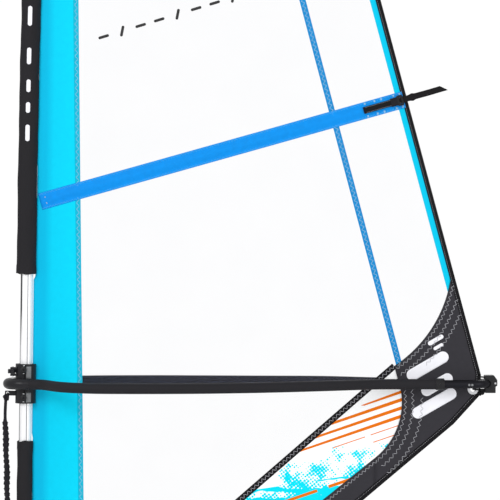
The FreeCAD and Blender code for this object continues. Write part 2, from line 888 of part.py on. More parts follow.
def sheave(x, y, z, radius=None, width=8.0):
    """A grooved wheel on a Y axis, running on an axle."""
    radius = radius or size("sheave_radius")
    bore = size("sheave_bore_radius") + 0.06
    groove = size("line_diameter") / 2 + 0.4
    wheel = rod(radius, (x, y - width / 2, z), (x, y + width / 2, z))
    ring = Part.makeTorus(radius + 0.6, groove, Vector(x, y, z), Vector(0, 1, 0))
    hole = rod(bore, (x, y - width, z), (x, y + width, z))
    return wheel.cut(ring).cut(hole)


# ---------------------------------------------------------------- mast clamp


def local(shape):
    """Move a clamp shape, drawn about the mast's axis, to its place on the raked mast."""
    along = size("boom_height") / math.cos(RAKE)
    shape.Placement = mast_frame(along).multiply(shape.Placement)
    return shape


PIN_X = -3.0
PIN_Y = 31.5
LEVER_X = -38.0
LEVER_Y = -15.0
EYE_X = -54.0
EYE_Z = -30.0
KNUCKLE_LOW = (-52.0, -30.0)
KNUCKLE_HIGH = (32.0, 54.0)


def half_shell(front):
    """Half of the clamp's barrel: the front one, or the rear ring that the jaws are cut from."""
    height = size("clamp_height")
    low = -height / 2
    barrel = ring_of(size("clamp_outer_radius"), size("liner_outer_radius"), height, (0, 0, low))
    reach = 60
    split = PIN_X + 2
    if front:
        return barrel.common(block(-reach, split, -reach, reach, low, -low))
    return barrel.common(block(split + 1.5, reach, -reach, reach, low, -low))


def cam_lever():
    """The closing lever: an eccentric boss on its pin, and a handle that curves round the clamp's front."""
    low, high = 29.4, 43.0
    boss = Part.makeCylinder(7.2, high - low, Vector(LEVER_X, LEVER_Y, low))
    reach = Part.makeCylinder(54, high - low - 2, Vector(0, 0, low + 1))
    handle = reach.cut(Part.makeCylinder(44.5, 60, Vector(0, 0, 0)))
    corners = [(0, 0), (-80, -24), (-80, 62), (-34, 74), (0, 0)]
    wedge = Part.makePolygon([Vector(x, y, 0) for x, y in corners])
    handle = handle.common(Part.Face(wedge).extrude(Vector(0, 0, 60)))
    clear = size("hinge_pin_radius") + size("hinge_pin_clearance")
    hole = Part.makeCylinder(clear, 60, Vector(LEVER_X, LEVER_Y, 10))
    return boss.fuse(handle).removeSplitter().cut(hole)


def make_clamp():
    pin = size("hinge_pin_radius")
    clear = size("hinge_pin_clearance")
    shell = half_shell(True)
    bosses = []
    holes = []
    for sign in (-1, 1):
        y = sign * PIN_Y
        for low, high in (KNUCKLE_LOW, KNUCKLE_HIGH):
            third = (high - low) / 3
            for start in (low, low + 2 * third):
                bosses.append(rod(pin + 4, (PIN_X, y, start), (PIN_X, y, start + third - 0.4)))
            holes.append(rod(pin, (PIN_X, y, low - 8), (PIN_X, y, high + 8)))
            relief = rod(pin + 4.4, (PIN_X, y, low + third - 0.4), (PIN_X, y, low + 2 * third))
            holes.append(relief)
    lugs = [
        block(-45, -24, -21.5, -8.5, 23, 29.0, 1),
        block(-45, -24, -21.5, -8.5, 43.4, 49.4, 1),
    ]
    eye = block(EYE_X - 8, -25, -5, 5, -37, -22.5, 2)
    shell = shell.fuse(bosses + lugs + [eye]).cut(Part.makeCompound(holes))
    trunnions = []
    for sign in (-1, 1):
        trunnions.append(rod(10, (0, sign * 20, 0), (0, sign * 35.2, 0)))
        trunnions.append(rod(6, (0, sign * 34, 0), (0, sign * 52, 0)))
    shell = shell.fuse(trunnions)
    bore = Part.makeCylinder(size("liner_outer_radius"), 200, Vector(0, 0, -100))
    pin_hole = rod(pin, (LEVER_X, LEVER_Y, 20), (LEVER_X, LEVER_Y, 54))
    eye_hole = rod(4.6, (EYE_X, -10, EYE_Z), (EYE_X, 10, EYE_Z))
    shell = shell.cut(bore).cut(pin_hole).cut(eye_hole)
    feature("clamp_shell", local(shell))
    feature("clamp_lever", local(cam_lever()))
    gap = size("clamp_slit") / 2
    for side, sign in (("near", -1), ("far", 1)):
        rear = half_shell(False)
        y = sign * PIN_Y
        wanted = block(-60, 60, min(sign * gap, sign * 60), max(sign * gap, sign * 60), -60, 60)
        jaw = rear.common(wanted)
        extra = []
        removed = []
        for low, high in (KNUCKLE_LOW, KNUCKLE_HIGH):
            third = (high - low) / 3
            knuckle = rod(pin + 4, (PIN_X, y, low + third), (PIN_X, y, low + 2 * third - 0.4))
            tie = block(0.5, 8, min(y, sign * 24), max(y, sign * 24), low + third, low + 2 * third - 0.4)
            extra.extend([knuckle, tie])
            removed.append(rod(pin + clear, (PIN_X, y, low), (PIN_X, y, high)))
            for start in (low - 0.4, low + 2 * third - 0.4):
                removed.append(rod(pin + 4.6, (PIN_X, y, start), (PIN_X, y, start + third + 0.4)))
        wide_bore = Part.makeCylinder(size("liner_outer_radius") + 0.3, 200, Vector(0, 0, -100))
        jaw = jaw.fuse(extra).cut(Part.makeCompound(removed)).cut(wide_bore)
        jaw = jaw.cut(rod(12.5, (0, sign * 10, 0), (0, sign * 50, 0)))
        feature(f"clamp_jaw_{side}", local(jaw))
    pins = [rod(pin, (LEVER_X, LEVER_Y, 21), (LEVER_X, LEVER_Y, 51.4))]
    for sign in (-1, 1):
        for low, high in (KNUCKLE_LOW, KNUCKLE_HIGH):
            pins.append(rod(pin, (PIN_X, sign * PIN_Y, low - 2), (PIN_X, sign * PIN_Y, high + 2)))
    feature("clamp_pins", local(Part.makeCompound(pins)))
    liner = ring_of(size("liner_outer_radius"), size("liner_bore_radius"), 110, (0, 0, -55))
    liner = liner.cut(block(0, 40, -gap, gap, -60, 60))
    feature("clamp_liner", local(liner))


# ---------------------------------------------------------------- uphaul


def make_uphaul():
    """Rope from the clamp's eye, the elastic below it, and the hook at its lower end."""
    place = mast_frame(size("boom_height") / math.cos(RAKE))
    loop = Part.makeTorus(9.5, 2.6, Vector(EYE_X, 0, EYE_Z - 9.5), Vector(1, 0, 0))
    loop.Placement = place.multiply(loop.Placement)
    hang_x = place.multVec(Vector(EYE_X, 0, EYE_Z)).x
    rope = route([(hang_x - 4, 0, 1342), (hang_x - 6.5, 0, 1318), (-46.0, 0, 1286)], 30)
    knotted = swept(rope, size("uphaul_rope_diameter") / 2).fuse(loop)
    feature("uphaul_rope", knotted.removeSplitter())
    elastic = [(-46, 0, 1285.2), (-41.5, 0, 1165), (-38.5, 0, 1010), (-36.5, 0, 720), (-36, 0, 226)]
    feature("uphaul_elastic", swept(route(elastic, 30), size("uphaul_elastic_diameter") / 2))
    hook = Part.makeTorus(10, 2.8, Vector(-36, 0, 206.5), Vector(1, 0, 0))
    shank = rod(4.5, (-36, 0, 216), (-36, 0, 225.8))
    feature("uphaul_hook", hook.fuse(shank).removeSplitter())


# ---------------------------------------------------------------- mast foot

PIVOT = 72.0


def yoke_ears():
    """The two ears of a yoke, round at the pin, on the X axis below a disc."""
    ears = []
    for near, far in ((11, 17), (-17, -11)):
        ears.append(block(near, far, -6, 6, 0, 26).fuse(rod(6, (near, 0, 0), (far, 0, 0))))
    return ears


def make_foot():
    pivot = mast_frame(PIVOT)
    centre = pivot.Base
    pin = size("joint_pin_radius")
    clear = size("hinge_pin_clearance")
    cube = block(-10, 10, -10, 10, -8, 8, 1.5)
    cross = cube.fuse([rod(pin, (-17.5, 0, 0), (17.5, 0, 0)), rod(pin, (0, -17.5, 0), (0, 17.5, 0))])
    feature("joint_spider", cross.removeSplitter(), pivot)
    upper = Part.makeCylinder(20, 8, Vector(0, 0, 24))
    stem = Part.makeCylinder(9, 44, Vector(0, 0, 31))
    groove = ring_of(12, 6.3, 5, (0, 0, 57.5))
    yoke = upper.fuse(yoke_ears() + [stem]).removeSplitter().cut(groove)
    yoke = yoke.cut(rod(pin + clear, (-20, 0, 0), (20, 0, 0)))
    feature("joint_upper_yoke", yoke, pivot)
    lower = Part.makeCylinder(20, 8, Vector(0, 0, -32))
    turned = Placement(Vector(), Rotation(90, 0, 180))
    ears = [ear.transformed(turned.toMatrix()) for ear in yoke_ears()]
    top = size("deck_pad_thickness") + size("deck_plate_thickness")
    neck = Part.makeCylinder(14, PIVOT - top - 31, Vector(0, 0, top - centre.z))
    yoke = lower.fuse(ears + [neck]).removeSplitter()
    yoke = yoke.cut(rod(pin + clear, (0, -20, 0), (0, 20, 0)))
    feature("joint_lower_yoke", yoke, Placement(centre, Rotation()))
    under = size("deck_pad_thickness")
    head = Part.makeCylinder(6.5, 9, Vector(0, 0, under))
    thickness = size("deck_plate_thickness")
    plate = Part.makeCylinder(size("deck_plate_radius"), thickness, Vector(0, 0, under))
    plate = plate.makeFillet(3, [plate.Edges[0]])
    feature("deck_plate", plate.cut(head))
    feature("deck_pad", ring_of(size("deck_plate_radius") - 5, 8, under, (0, 0, 0)))
    length = size("deck_stud_length")
    stud = Part.makeCylinder(size("deck_stud_radius"), length + under, Vector(0, 0, -length))
    feature("deck_stud", stud.fuse(head))


def make_extension():
    """The plug in the mast's lower end, its collar with the swivel socket, and the downhaul's sheave."""
    cup = Part.makeCylinder(24, 44, Vector(0, 0, 106))
    plug = Part.makeCylinder(16.8, 84, Vector(0, 0, 149))
    raked = cup.fuse(plug).removeSplitter()
    raked = raked.cut(Part.makeCylinder(9.05, 46, Vector(0, 0, 105)))
    raked = raked.cut(rod(2.0, (8.5, -30, 132), (8.5, 30, 132)))
    raked.Placement = mast_frame(0)
    housing = block(16, 66, -9, 9, 118, 150, 2).cut(block(SHEAVE_X - 18, 80, -5.2, 5.2, 112, 160))
    becket = block(58, 66, -9, 9, 146, 153)
    cleat_z = FOOT_SHEAVE_Z - size("sheave_radius")
    jaws = [block(64, 80, side, side + 5.2, cleat_z - 8, cleat_z + 10, 1.5) for side in (-8, 2.8)]
    housing = housing.fuse([becket] + jaws)
    hollow = Part.makeCylinder(20, 60, Vector(0, 0, 100))
    hollow.Placement = mast_frame(0)
    housing = housing.cut(hollow)
    becket_hole = rod(2.6, (SHEAVE_X + 11.6, 0, 140), (SHEAVE_X + 11.6, 0, 160))
    bore = size("sheave_bore_radius")
    axle_hole = rod(bore, (SHEAVE_X, -20, FOOT_SHEAVE_Z), (SHEAVE_X, 20, FOOT_SHEAVE_Z))
    body = raked.fuse(housing).removeSplitter().cut(becket_hole).cut(axle_hole)
    feature("foot_collar", body)
    pin = rod(2.0, (8.5, -25, 132), (8.5, 25, 132))
    pin.Placement = mast_frame(0)
    axles = [pin]
    for height in (FOOT_SHEAVE_Z, TACK_SHEAVE_Z):
        axles.append(rod(bore, (SHEAVE_X, -9.5, height), (SHEAVE_X, 9.5, height)))
    feature("foot_pins", Part.makeCompound(axles))
    feature("foot_sheave", sheave(SHEAVE_X, 0, FOOT_SHEAVE_Z))
    clip = ring_of(23.5, 19.02, 14, (0, 0, 188))
    clip.Placement = mast_frame(0)
    front_eye = block(-46, -16, -4, 4, 190, 203, 1.5)
    eye = front_eye.cut(cylinder_on_mast(21)).cut(rod(4.2, (-36, -10, 196.5), (-36, 10, 196.5)))
    feature("uphaul_eye_clip", clip.fuse(eye).removeSplitter())


def cylinder_on_mast(radius):
    shape = Part.makeCylinder(radius, 400)
    shape.Placement = mast_frame(0)
    return shape


def make_tack():
    x = SHEAVE_X
    z = TACK_SHEAVE_Z
    room = block(x - 20, x + 20, -5.2, 5.2, z - 20, z + 14.8)
    cheeks = block(x - 14, x + 14, -9, 9, z - 14, z + 20, 3).cut(room)
    lug = block(x - 9, x + 9, -1.2, 1.2, z + 19, z + 36)
    axle_hole = rod(size("sheave_bore_radius"), (x, -20, z), (x, 20, z))
    feature("tack_block", cheeks.fuse(lug).removeSplitter().cut(axle_hole))
    feature("tack_sheave", sheave(x, 0, z))
    downhaul(x, z)


def downhaul(x, z):
    """Downhaul: becket, over the tack sheave, down to the foot sheave and aft to the cleat."""
    reach = size("sheave_radius") + 0.6
    low = FOOT_SHEAVE_Z
    end = (x + 36, 0, low - reach)
    edges = [
        Part.LineSegment(Vector(x + reach, 0, 148), Vector(x + reach, 0, z)).toShape(),
        Part.Arc(Vector(x + reach, 0, z), Vector(x, 0, z + reach), Vector(x - reach, 0, z)).toShape(),
        Part.LineSegment(Vector(x - reach, 0, z), Vector(x - reach, 0, low)).toShape(),
        Part.Arc(
            Vector(x - reach, 0, low),
            Vector(x - reach * math.cos(math.pi / 4), 0, low - reach * math.sin(math.pi / 4)),
            Vector(x, 0, low - reach),
        ).toShape(),
        Part.LineSegment(Vector(x, 0, low - reach), Vector(*end)).toShape(),
    ]
    feature("downhaul_line", swept(Part.Wire(edges), size("line_diameter") / 2))


def make_grommet():
    x, z = GROMMET
    bore = size("grommet_bore_radius")
    barrel = rod(bore + 1.9, (x, -3, z), (x, 3, z))
    flanges = []
    for low, high in ((-3.2, -1.25), (1.25, 3.2)):
        flange = rod(size("grommet_outer_radius"), (x, low, z), (x, high, z))
        flanges.append(flange)
    ring = barrel.fuse(flanges).cut(rod(bore, (x, -9, z), (x, 9, z)))
    feature("clew_grommet", ring.removeSplitter())


# ---------------------------------------------------------------- main

make_mast()
make_sleeves()
seam_foot, seam_top, seam_head, seam_clew, tack_right = make_panels()
make_lower_panels(seam_foot, tack_right)
make_seams(seam_foot, seam_top, seam_head, seam_clew)
make_battens()
make_batten_ends()
make_arms()
make_head()
make_tail()
make_clamp()
make_uphaul()
make_foot()
make_extension()
make_tack()
make_grommet()

doc.recompute()
bad = []
for label, obj in nodes.items():
    if "Invalid" in obj.State or "Error" in obj.State or obj.Shape.isNull() or not obj.Shape.isValid():
        bad.append(f"{label}: {obj.State}")
if bad:
    raise RuntimeError("; ".join(bad))
for label, obj in nodes.items():
    obj.Shape.exportStep(f"parts/{label}.step")
    b = obj.Shape.BoundBox
    print(f"{label:24s} solids {len(obj.Shape.Solids)} volume {obj.Shape.Volume / 1000:.1f} cm3 "
          f"x {b.XMin:.0f}..{b.XMax:.0f} y {b.YMin:.0f}..{b.YMax:.0f} z {b.ZMin:.0f}..{b.ZMax:.0f}")
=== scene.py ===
"""Looks of the windsurf rig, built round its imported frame. Metres, +Z up, +X from the mast to the clew."""
import json
import math

import bpy
import numpy as np
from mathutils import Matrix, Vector


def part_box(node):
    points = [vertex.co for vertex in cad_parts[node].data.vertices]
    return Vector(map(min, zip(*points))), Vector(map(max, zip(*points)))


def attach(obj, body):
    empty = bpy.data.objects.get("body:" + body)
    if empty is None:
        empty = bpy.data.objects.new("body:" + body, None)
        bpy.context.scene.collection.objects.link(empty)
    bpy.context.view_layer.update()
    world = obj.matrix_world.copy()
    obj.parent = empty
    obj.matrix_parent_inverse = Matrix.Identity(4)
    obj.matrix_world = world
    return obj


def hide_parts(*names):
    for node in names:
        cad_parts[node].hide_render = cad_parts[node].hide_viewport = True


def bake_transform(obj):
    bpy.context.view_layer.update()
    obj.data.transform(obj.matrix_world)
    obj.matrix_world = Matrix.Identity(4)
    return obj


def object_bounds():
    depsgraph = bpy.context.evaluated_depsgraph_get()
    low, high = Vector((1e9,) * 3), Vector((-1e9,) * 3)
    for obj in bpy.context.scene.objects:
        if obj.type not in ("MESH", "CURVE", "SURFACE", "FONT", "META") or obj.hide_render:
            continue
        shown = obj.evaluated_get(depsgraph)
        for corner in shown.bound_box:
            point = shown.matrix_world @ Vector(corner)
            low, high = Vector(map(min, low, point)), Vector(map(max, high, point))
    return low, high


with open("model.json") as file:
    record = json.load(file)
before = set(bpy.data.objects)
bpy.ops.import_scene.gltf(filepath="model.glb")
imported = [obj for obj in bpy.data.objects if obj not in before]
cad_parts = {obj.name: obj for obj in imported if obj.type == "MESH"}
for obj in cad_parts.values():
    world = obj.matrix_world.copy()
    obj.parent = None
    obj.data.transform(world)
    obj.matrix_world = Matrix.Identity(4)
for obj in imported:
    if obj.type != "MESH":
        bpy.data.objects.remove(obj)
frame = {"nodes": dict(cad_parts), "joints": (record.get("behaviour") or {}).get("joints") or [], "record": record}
CAD_LOW, CAD_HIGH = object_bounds()

# ---------------------------------------------------------------- places read from the frame


def middle(node):
    """Middle of a node's box."""
    low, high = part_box(node)
    return (np.array(low) + np.array(high)) / 2


def joint(name):
    """A joint of the frame, by name."""
    return next(j for j in frame["joints"] if j["name"] == name)


MAST_AXIS = np.array(joint("boom_height")["axis"], float)
CLEW = middle("clew_grommet")
BOOM_LEVEL = middle("tail_tube")[2]
FILM_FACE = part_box("window_front")[0][1]
CLOTH_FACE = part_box("luff_panel")[0][1]
PATCH_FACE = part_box("clew_patch")[0][1]
POCKET_SLOPE = math.radians(15.7)
ALONG_POCKET = np.array([math.cos(POCKET_SLOPE), 0, math.sin(POCKET_SLOPE)])


def spots_of(mesh):
    """A mesh's points."""
    spots = np.empty(len(mesh.vertices) * 3)
    mesh.vertices.foreach_get("co", spots)
    return spots.reshape(-1, 3)


def outline(node):
    """Corner points (x, z) round the near face of a flat CAD panel, counter-clockwise.

    The edges that only one of the near face's triangles has are its rim, and they are chained end to end."""
    mesh = frame["nodes"][node].data
    mesh.calc_loop_triangles()
    spots = spots_of(mesh)
    triangles = np.empty(len(mesh.loop_triangles) * 3, int)
    mesh.loop_triangles.foreach_get("vertices", triangles)
    near = spots[:, 1] < spots[:, 1].min() + 1e-5
    keys, same = np.unique(np.round(spots[:, [0, 2]], 5), axis=0, return_inverse=True)
    triangles = triangles.reshape(-1, 3)
    triangles = same.ravel()[triangles[near[triangles].all(axis=1)]]
    edges = np.concatenate([triangles[:, [0, 1]], triangles[:, [1, 2]], triangles[:, [2, 0]]])
    directed = {(a, b) for a, b in edges.tolist()}
    follows = {a: b for a, b in directed if (b, a) not in directed}
    loops = []
    while follows:
        first = next(iter(follows))
        chain = [first]
        while follows.get(chain[-1]) is not None:
            chain.append(follows.pop(chain[-1]))
        loops.append(keys[chain[:-1]])
    loop = max(loops, key=lambda loop: np.ptp(loop[:, 0]) + np.ptp(loop[:, 1]))
    after = np.roll(loop, -1, axis=0)
    if (loop[:, 0] * after[:, 1] - after[:, 0] * loop[:, 1]).sum() < 0:
        loop = loop[::-1]
    return loop


def corner(loop, point):
    """Index of the outline's point nearest to a place."""
    return int(np.argmin(np.hypot(*(loop - np.array(point)).T)))


def stretch(loop, start, end, count):
    """Evenly spaced points along an outline from one of its points to another, in the outline's order."""
    chain = np.roll(loop, -start, axis=0)[: (end - start) % len(loop) + 1]
    return resampled(chain, count)


def resampled(line, count):
    """The same line with a number of evenly spaced points."""
    steps = np.linalg.norm(np.diff(line, axis=0), axis=1)
    run = np.concatenate([[0], np.cumsum(steps)])
    at = np.linspace(0, run[-1], count)
    return np.stack([np.interp(at, run, line[:, k]) for k in range(line.shape[1])], axis=1)


LEECH = outline("leech_tape")
LEECH_FOOT = LEECH[corner(LEECH, (CAD_HIGH[0], 1.4))]
LEECH_HEAD = LEECH[corner(LEECH, (1.0, 2.9))]


def belly(x, z):
    """Sideways set of the sailcloth: flat at the mast and the edges, and a few millimetres full between.

    The fullness is a sine across the chord, fades towards head and foot, and carries two faint ripples."""
    risen = (z - LEECH_FOOT[1]) / (LEECH_HEAD[1] - LEECH_FOOT[1])
    leech = LEECH_FOOT[0] + (LEECH_HEAD[0] - LEECH_FOOT[0]) * risen
    across = np.clip((x - 0.09) / np.maximum(leech - 0.12, 0.05), 0, 1)
    height = np.clip((z - 0.5) / 2.9, 0, 1)
    full = 0.0065 * np.sin(math.pi * across) ** 1.3 * np.sin(math.pi * height) ** 0.5
    ripple = 0.0008 * np.sin(math.pi * across) * np.sin(9 * x + 3.1 * z)
    return full + ripple


# ---------------------------------------------------------------- meshes from arrays


def grid_faces(rows, columns, wrap_rows=False, wrap_columns=False):
    """Corner numbers of the four-sided faces between neighbouring points of a grid."""
    r = np.arange(rows if wrap_rows else rows - 1)
    c = np.arange(columns if wrap_columns else columns - 1)
    r, c = (a.ravel() for a in np.meshgrid(r, c, indexing="ij"))
    r1, c1 = (r + 1) % rows, (c + 1) % columns
    return np.stack([r * columns + c, r * columns + c1, r1 * columns + c1, r1 * columns + c], axis=1)


def tube_parts(path, side, up, profile, capped=True):
    """A closed profile (across, out) carried along a path: each ring is path + across * side + out * up."""
    profile = np.asarray(profile, float)
    if profile.ndim == 2:
        profile = np.broadcast_to(profile, (len(path),) + profile.shape)
    rings = path[:, None] + profile[..., :1] * side[:, None] + profile[..., 1:] * up[:, None]
    rows, columns = rings.shape[:2]
    faces = [list(f) for f in grid_faces(rows, columns, wrap_columns=True).tolist()]
    if capped:
        faces.append(list(range(columns))[::-1])
        faces.append([(rows - 1) * columns + c for c in range(columns)])
    return rings.reshape(-1, 3), faces


def joined(parts):
    """Several (points, faces) as one."""
    points = []
    faces = []
    base = 0
    for more_points, more_faces in parts:
        points.append(more_points)
        faces.extend([[i + base for i in face] for face in more_faces])
        base += len(more_points)
    return np.concatenate(points), faces


def piece(name, parts, finish, smooth=True):
    """A finished mesh object at the origin, with its faces turned outwards."""
    points, faces = parts
    mesh = bpy.data.meshes.new(name)
    mesh.from_pydata(points.tolist(), [], faces)
    mesh.validate()
    mesh.polygons.foreach_set("use_smooth", np.full(len(mesh.polygons), smooth))
    mesh.materials.append(finish)
    obj = bpy.data.objects.new(name, mesh)
    bpy.context.scene.collection.objects.link(obj)
    return obj


def volume_of(points, faces):
    """Signed volume inside a closed mesh; below nought where its faces point inwards."""
    total = 0.0
    for count in {len(f) for f in faces}:
        ring = points[np.array([f for f in faces if len(f) == count])]
        for k in range(1, count - 1):
            total += np.einsum("ij,ij->i", ring[:, 0], np.cross(ring[:, k], ring[:, k + 1])).sum()
    return total / 6


def outward(parts):
    """The same closed mesh with every face turned round if they point inwards."""
    points, faces = parts
    if volume_of(points, faces) < 0:
        faces = [face[::-1] for face in faces]
    return points, faces


def shell_between(near, far):
    """A closed thin shell: the near grid, the far one turned over, and a strip round their rims."""
    rows, columns = near.shape[:2]
    count = rows * columns
    index = np.arange(count).reshape(rows, columns)
    rim = np.concatenate([index[0, :-1], index[:-1, -1], index[-1, :0:-1], index[:0:-1, 0]])
    after = np.roll(rim, -1)
    sides = np.stack([rim, rim + count, after + count, after], axis=1)
    faces = grid_faces(rows, columns)
    every = np.concatenate([faces, faces[:, ::-1] + count, sides])
    return outward((np.concatenate([near.reshape(-1, 3), far.reshape(-1, 3)]), every.tolist()))


def double_wall(outer, inner):
    """A closed shell between an outer and an inner grid that both go all the way round."""
    rows, columns = outer.shape[:2]
    count = rows * columns
    faces = grid_faces(rows, columns, wrap_columns=True)
    index = np.arange(columns)
    after = (index + 1) % columns
    low = np.stack([index, index + count, after + count, after], axis=1)
    high = low[:, ::-1] + (rows - 1) * columns
    every = np.concatenate([faces, faces[:, ::-1] + count, low, high])
    return outward((np.concatenate([outer.reshape(-1, 3), inner.reshape(-1, 3)]), every.tolist()))


def circle(radius, sides):
    """A ring of evenly spaced points."""
    turn = np.linspace(0, 2 * math.pi, sides, endpoint=False)
    return np.stack([radius * np.cos(turn), radius * np.sin(turn)], axis=1)


def unit(vectors):
    """The same directions, each of length one."""
    return vectors / np.linalg.norm(vectors, axis=1)[:, None]


def leftward(line):
    """Unit directions square to a flat line, to the left of the way it runs."""
    along = unit(np.gradient(line, axis=0))
    return np.stack([-along[:, 1], along[:, 0]], axis=1)


def frames_of(path, reference):
    """Unit directions across a path: `side` level with a reference direction, and `up` square to both."""
    along = unit(np.gradient(path, axis=0))
    side = unit(np.cross(along, np.broadcast_to(reference, path.shape)))
    return side, np.cross(side, along)


def round_cord(path, radius, sides=8, reference=(0, 1, 0)):
    """A round tube along a path; the radius may change from ring to ring."""
    side, up = frames_of(path, np.array(reference, float))
    profile = circle(1.0, sides)[None] * np.broadcast_to(radius, len(path))[:, None, None]
    return outward(tube_parts(path, side, up, profile))


def in_sail(line, face=0.0):
    """Points (x, z) of the sail's plane as places in space, `face` out from the cloth's set."""
    line = np.asarray(line, float)
    return np.stack([line[..., 0], belly(line[..., 0], line[..., 1]) + face, line[..., 1]], axis=-1)


def ribbon(line, profile, face=0.0):
    """A profile (across, out) carried along a line (x, z) of the sail, out to the near side."""
    line = np.asarray(line, float)
    left = leftward(line)
    side = np.stack([left[:, 0], np.zeros(len(line)), left[:, 1]], axis=1)
    up = np.broadcast_to([0.0, -1.0, 0.0], side.shape)
    return outward(tube_parts(in_sail(line, face), side, up, profile))


def flat_profile(half_width, thickness, rounding=0.3):
    """A strip's section: flat below, with slightly rounded edges above."""
    across = np.linspace(-1, 1, 9)
    top = thickness - rounding * thickness * np.abs(across) ** 12
    upper = np.stack([across * half_width, top], axis=1)
    lower = np.stack([across[::-1] * half_width, np.zeros(9)], axis=1)
    return np.concatenate([upper, lower])


# ---------------------------------------------------------------- shader groups and finishes


def new_group(name, inputs, outputs):
    """An empty shader group with named sockets, given as (name, kind, default)."""
    group = bpy.data.node_groups.new(name, "ShaderNodeTree")
    for label, kind, default in inputs:
        socket = group.interface.new_socket(label, in_out="INPUT", socket_type=kind)
        if default is not None:
            socket.default_value = default
    for label, kind in outputs:
        group.interface.new_socket(label, in_out="OUTPUT", socket_type=kind)
    return group, group.nodes.new("NodeGroupInput"), group.nodes.new("NodeGroupOutput")


def math_node(tree, operation, first, second=None, clamp=False):
    """A Math node fed by sockets or plain numbers; gives its output socket."""
    node = tree.nodes.new("ShaderNodeMath")
    node.operation = operation
    node.use_clamp = clamp
    for socket, value in zip(node.inputs, (first, second)):
        if value is None:
            continue
        if isinstance(value, (int, float)):
            socket.default_value = value
        else:
            tree.links.new(value, socket)
    return node.outputs[0]


def mixed(tree, factor, first, second):
    """A colour mix of two colours or colour sockets by a mask."""
    node = tree.nodes.new("ShaderNodeMix")
    node.data_type = "RGBA"
    for label, value in (("Factor", factor), (6, first), (7, second)):
        socket = node.inputs[label]
        if isinstance(value, tuple):
            socket.default_value = (*value, 1.0)
        else:
            tree.links.new(value, socket)
    return node.outputs[2]


def noise(tree, vector, scale, detail=2.0, roughness=0.5):
    """A noise texture's value."""
    node = tree.nodes.new("ShaderNodeTexNoise")
    node.inputs["Scale"].default_value = scale
    node.inputs["Detail"].default_value = detail
    node.inputs["Roughness"].default_value = roughness
    tree.links.new(vector, node.inputs["Vector"])
    return node.outputs["Fac"]


def make_weave_group():
    """Plain weave: a sine across the warp times one across the weft, and slubs along the threads."""
    group, source, sink = new_group(
        "plain_weave",
        [("Vector", "NodeSocketVector", None), ("Threads", "NodeSocketFloat", 900.0)],
        [("Height", "NodeSocketFloat"), ("Shade", "NodeSocketFloat")],
    )
    parts = group.nodes.new("ShaderNodeSeparateXYZ")
    group.links.new(source.outputs["Vector"], parts.inputs[0])
    threads = source.outputs["Threads"]
    warp = math_node(group, "SINE", math_node(group, "MULTIPLY", parts.outputs[0], threads))
    weft = math_node(group, "SINE", math_node(group, "MULTIPLY", parts.outputs[2], threads))
    weave = math_node(group, "MULTIPLY", warp, weft)
    slub = noise(group, source.outputs["Vector"], 60.0, 3.0)
    height = math_node(group, "ADD", math_node(group, "MULTIPLY", weave, 0.5), slub)
    group.links.new(height, sink.inputs["Height"])
    group.links.new(slub, sink.inputs["Shade"])
    return group


def make_grain_group():
    """Moulded or rubbery grain: fine noise for the relief and broad noise for how shiny the surface is."""
    group, source, sink = new_group(
        "moulded_grain",
        [("Vector", "NodeSocketVector", None), ("Fineness", "NodeSocketFloat", 900.0)],
        [("Height", "NodeSocketFloat"), ("Polish", "NodeSocketFloat")],
    )
    fine = group.nodes.new("ShaderNodeTexNoise")
    group.links.new(source.outputs["Vector"], fine.inputs["Vector"])
    group.links.new(source.outputs["Fineness"], fine.inputs["Scale"])
    fine.inputs["Detail"].default_value = 3.0
    broad = noise(group, source.outputs["Vector"], 22.0, 3.0, 0.6)
    group.links.new(fine.outputs["Fac"], sink.inputs["Height"])
    group.links.new(broad, sink.inputs["Polish"])
    return group


WEAVE = make_weave_group()
GRAIN = make_grain_group()


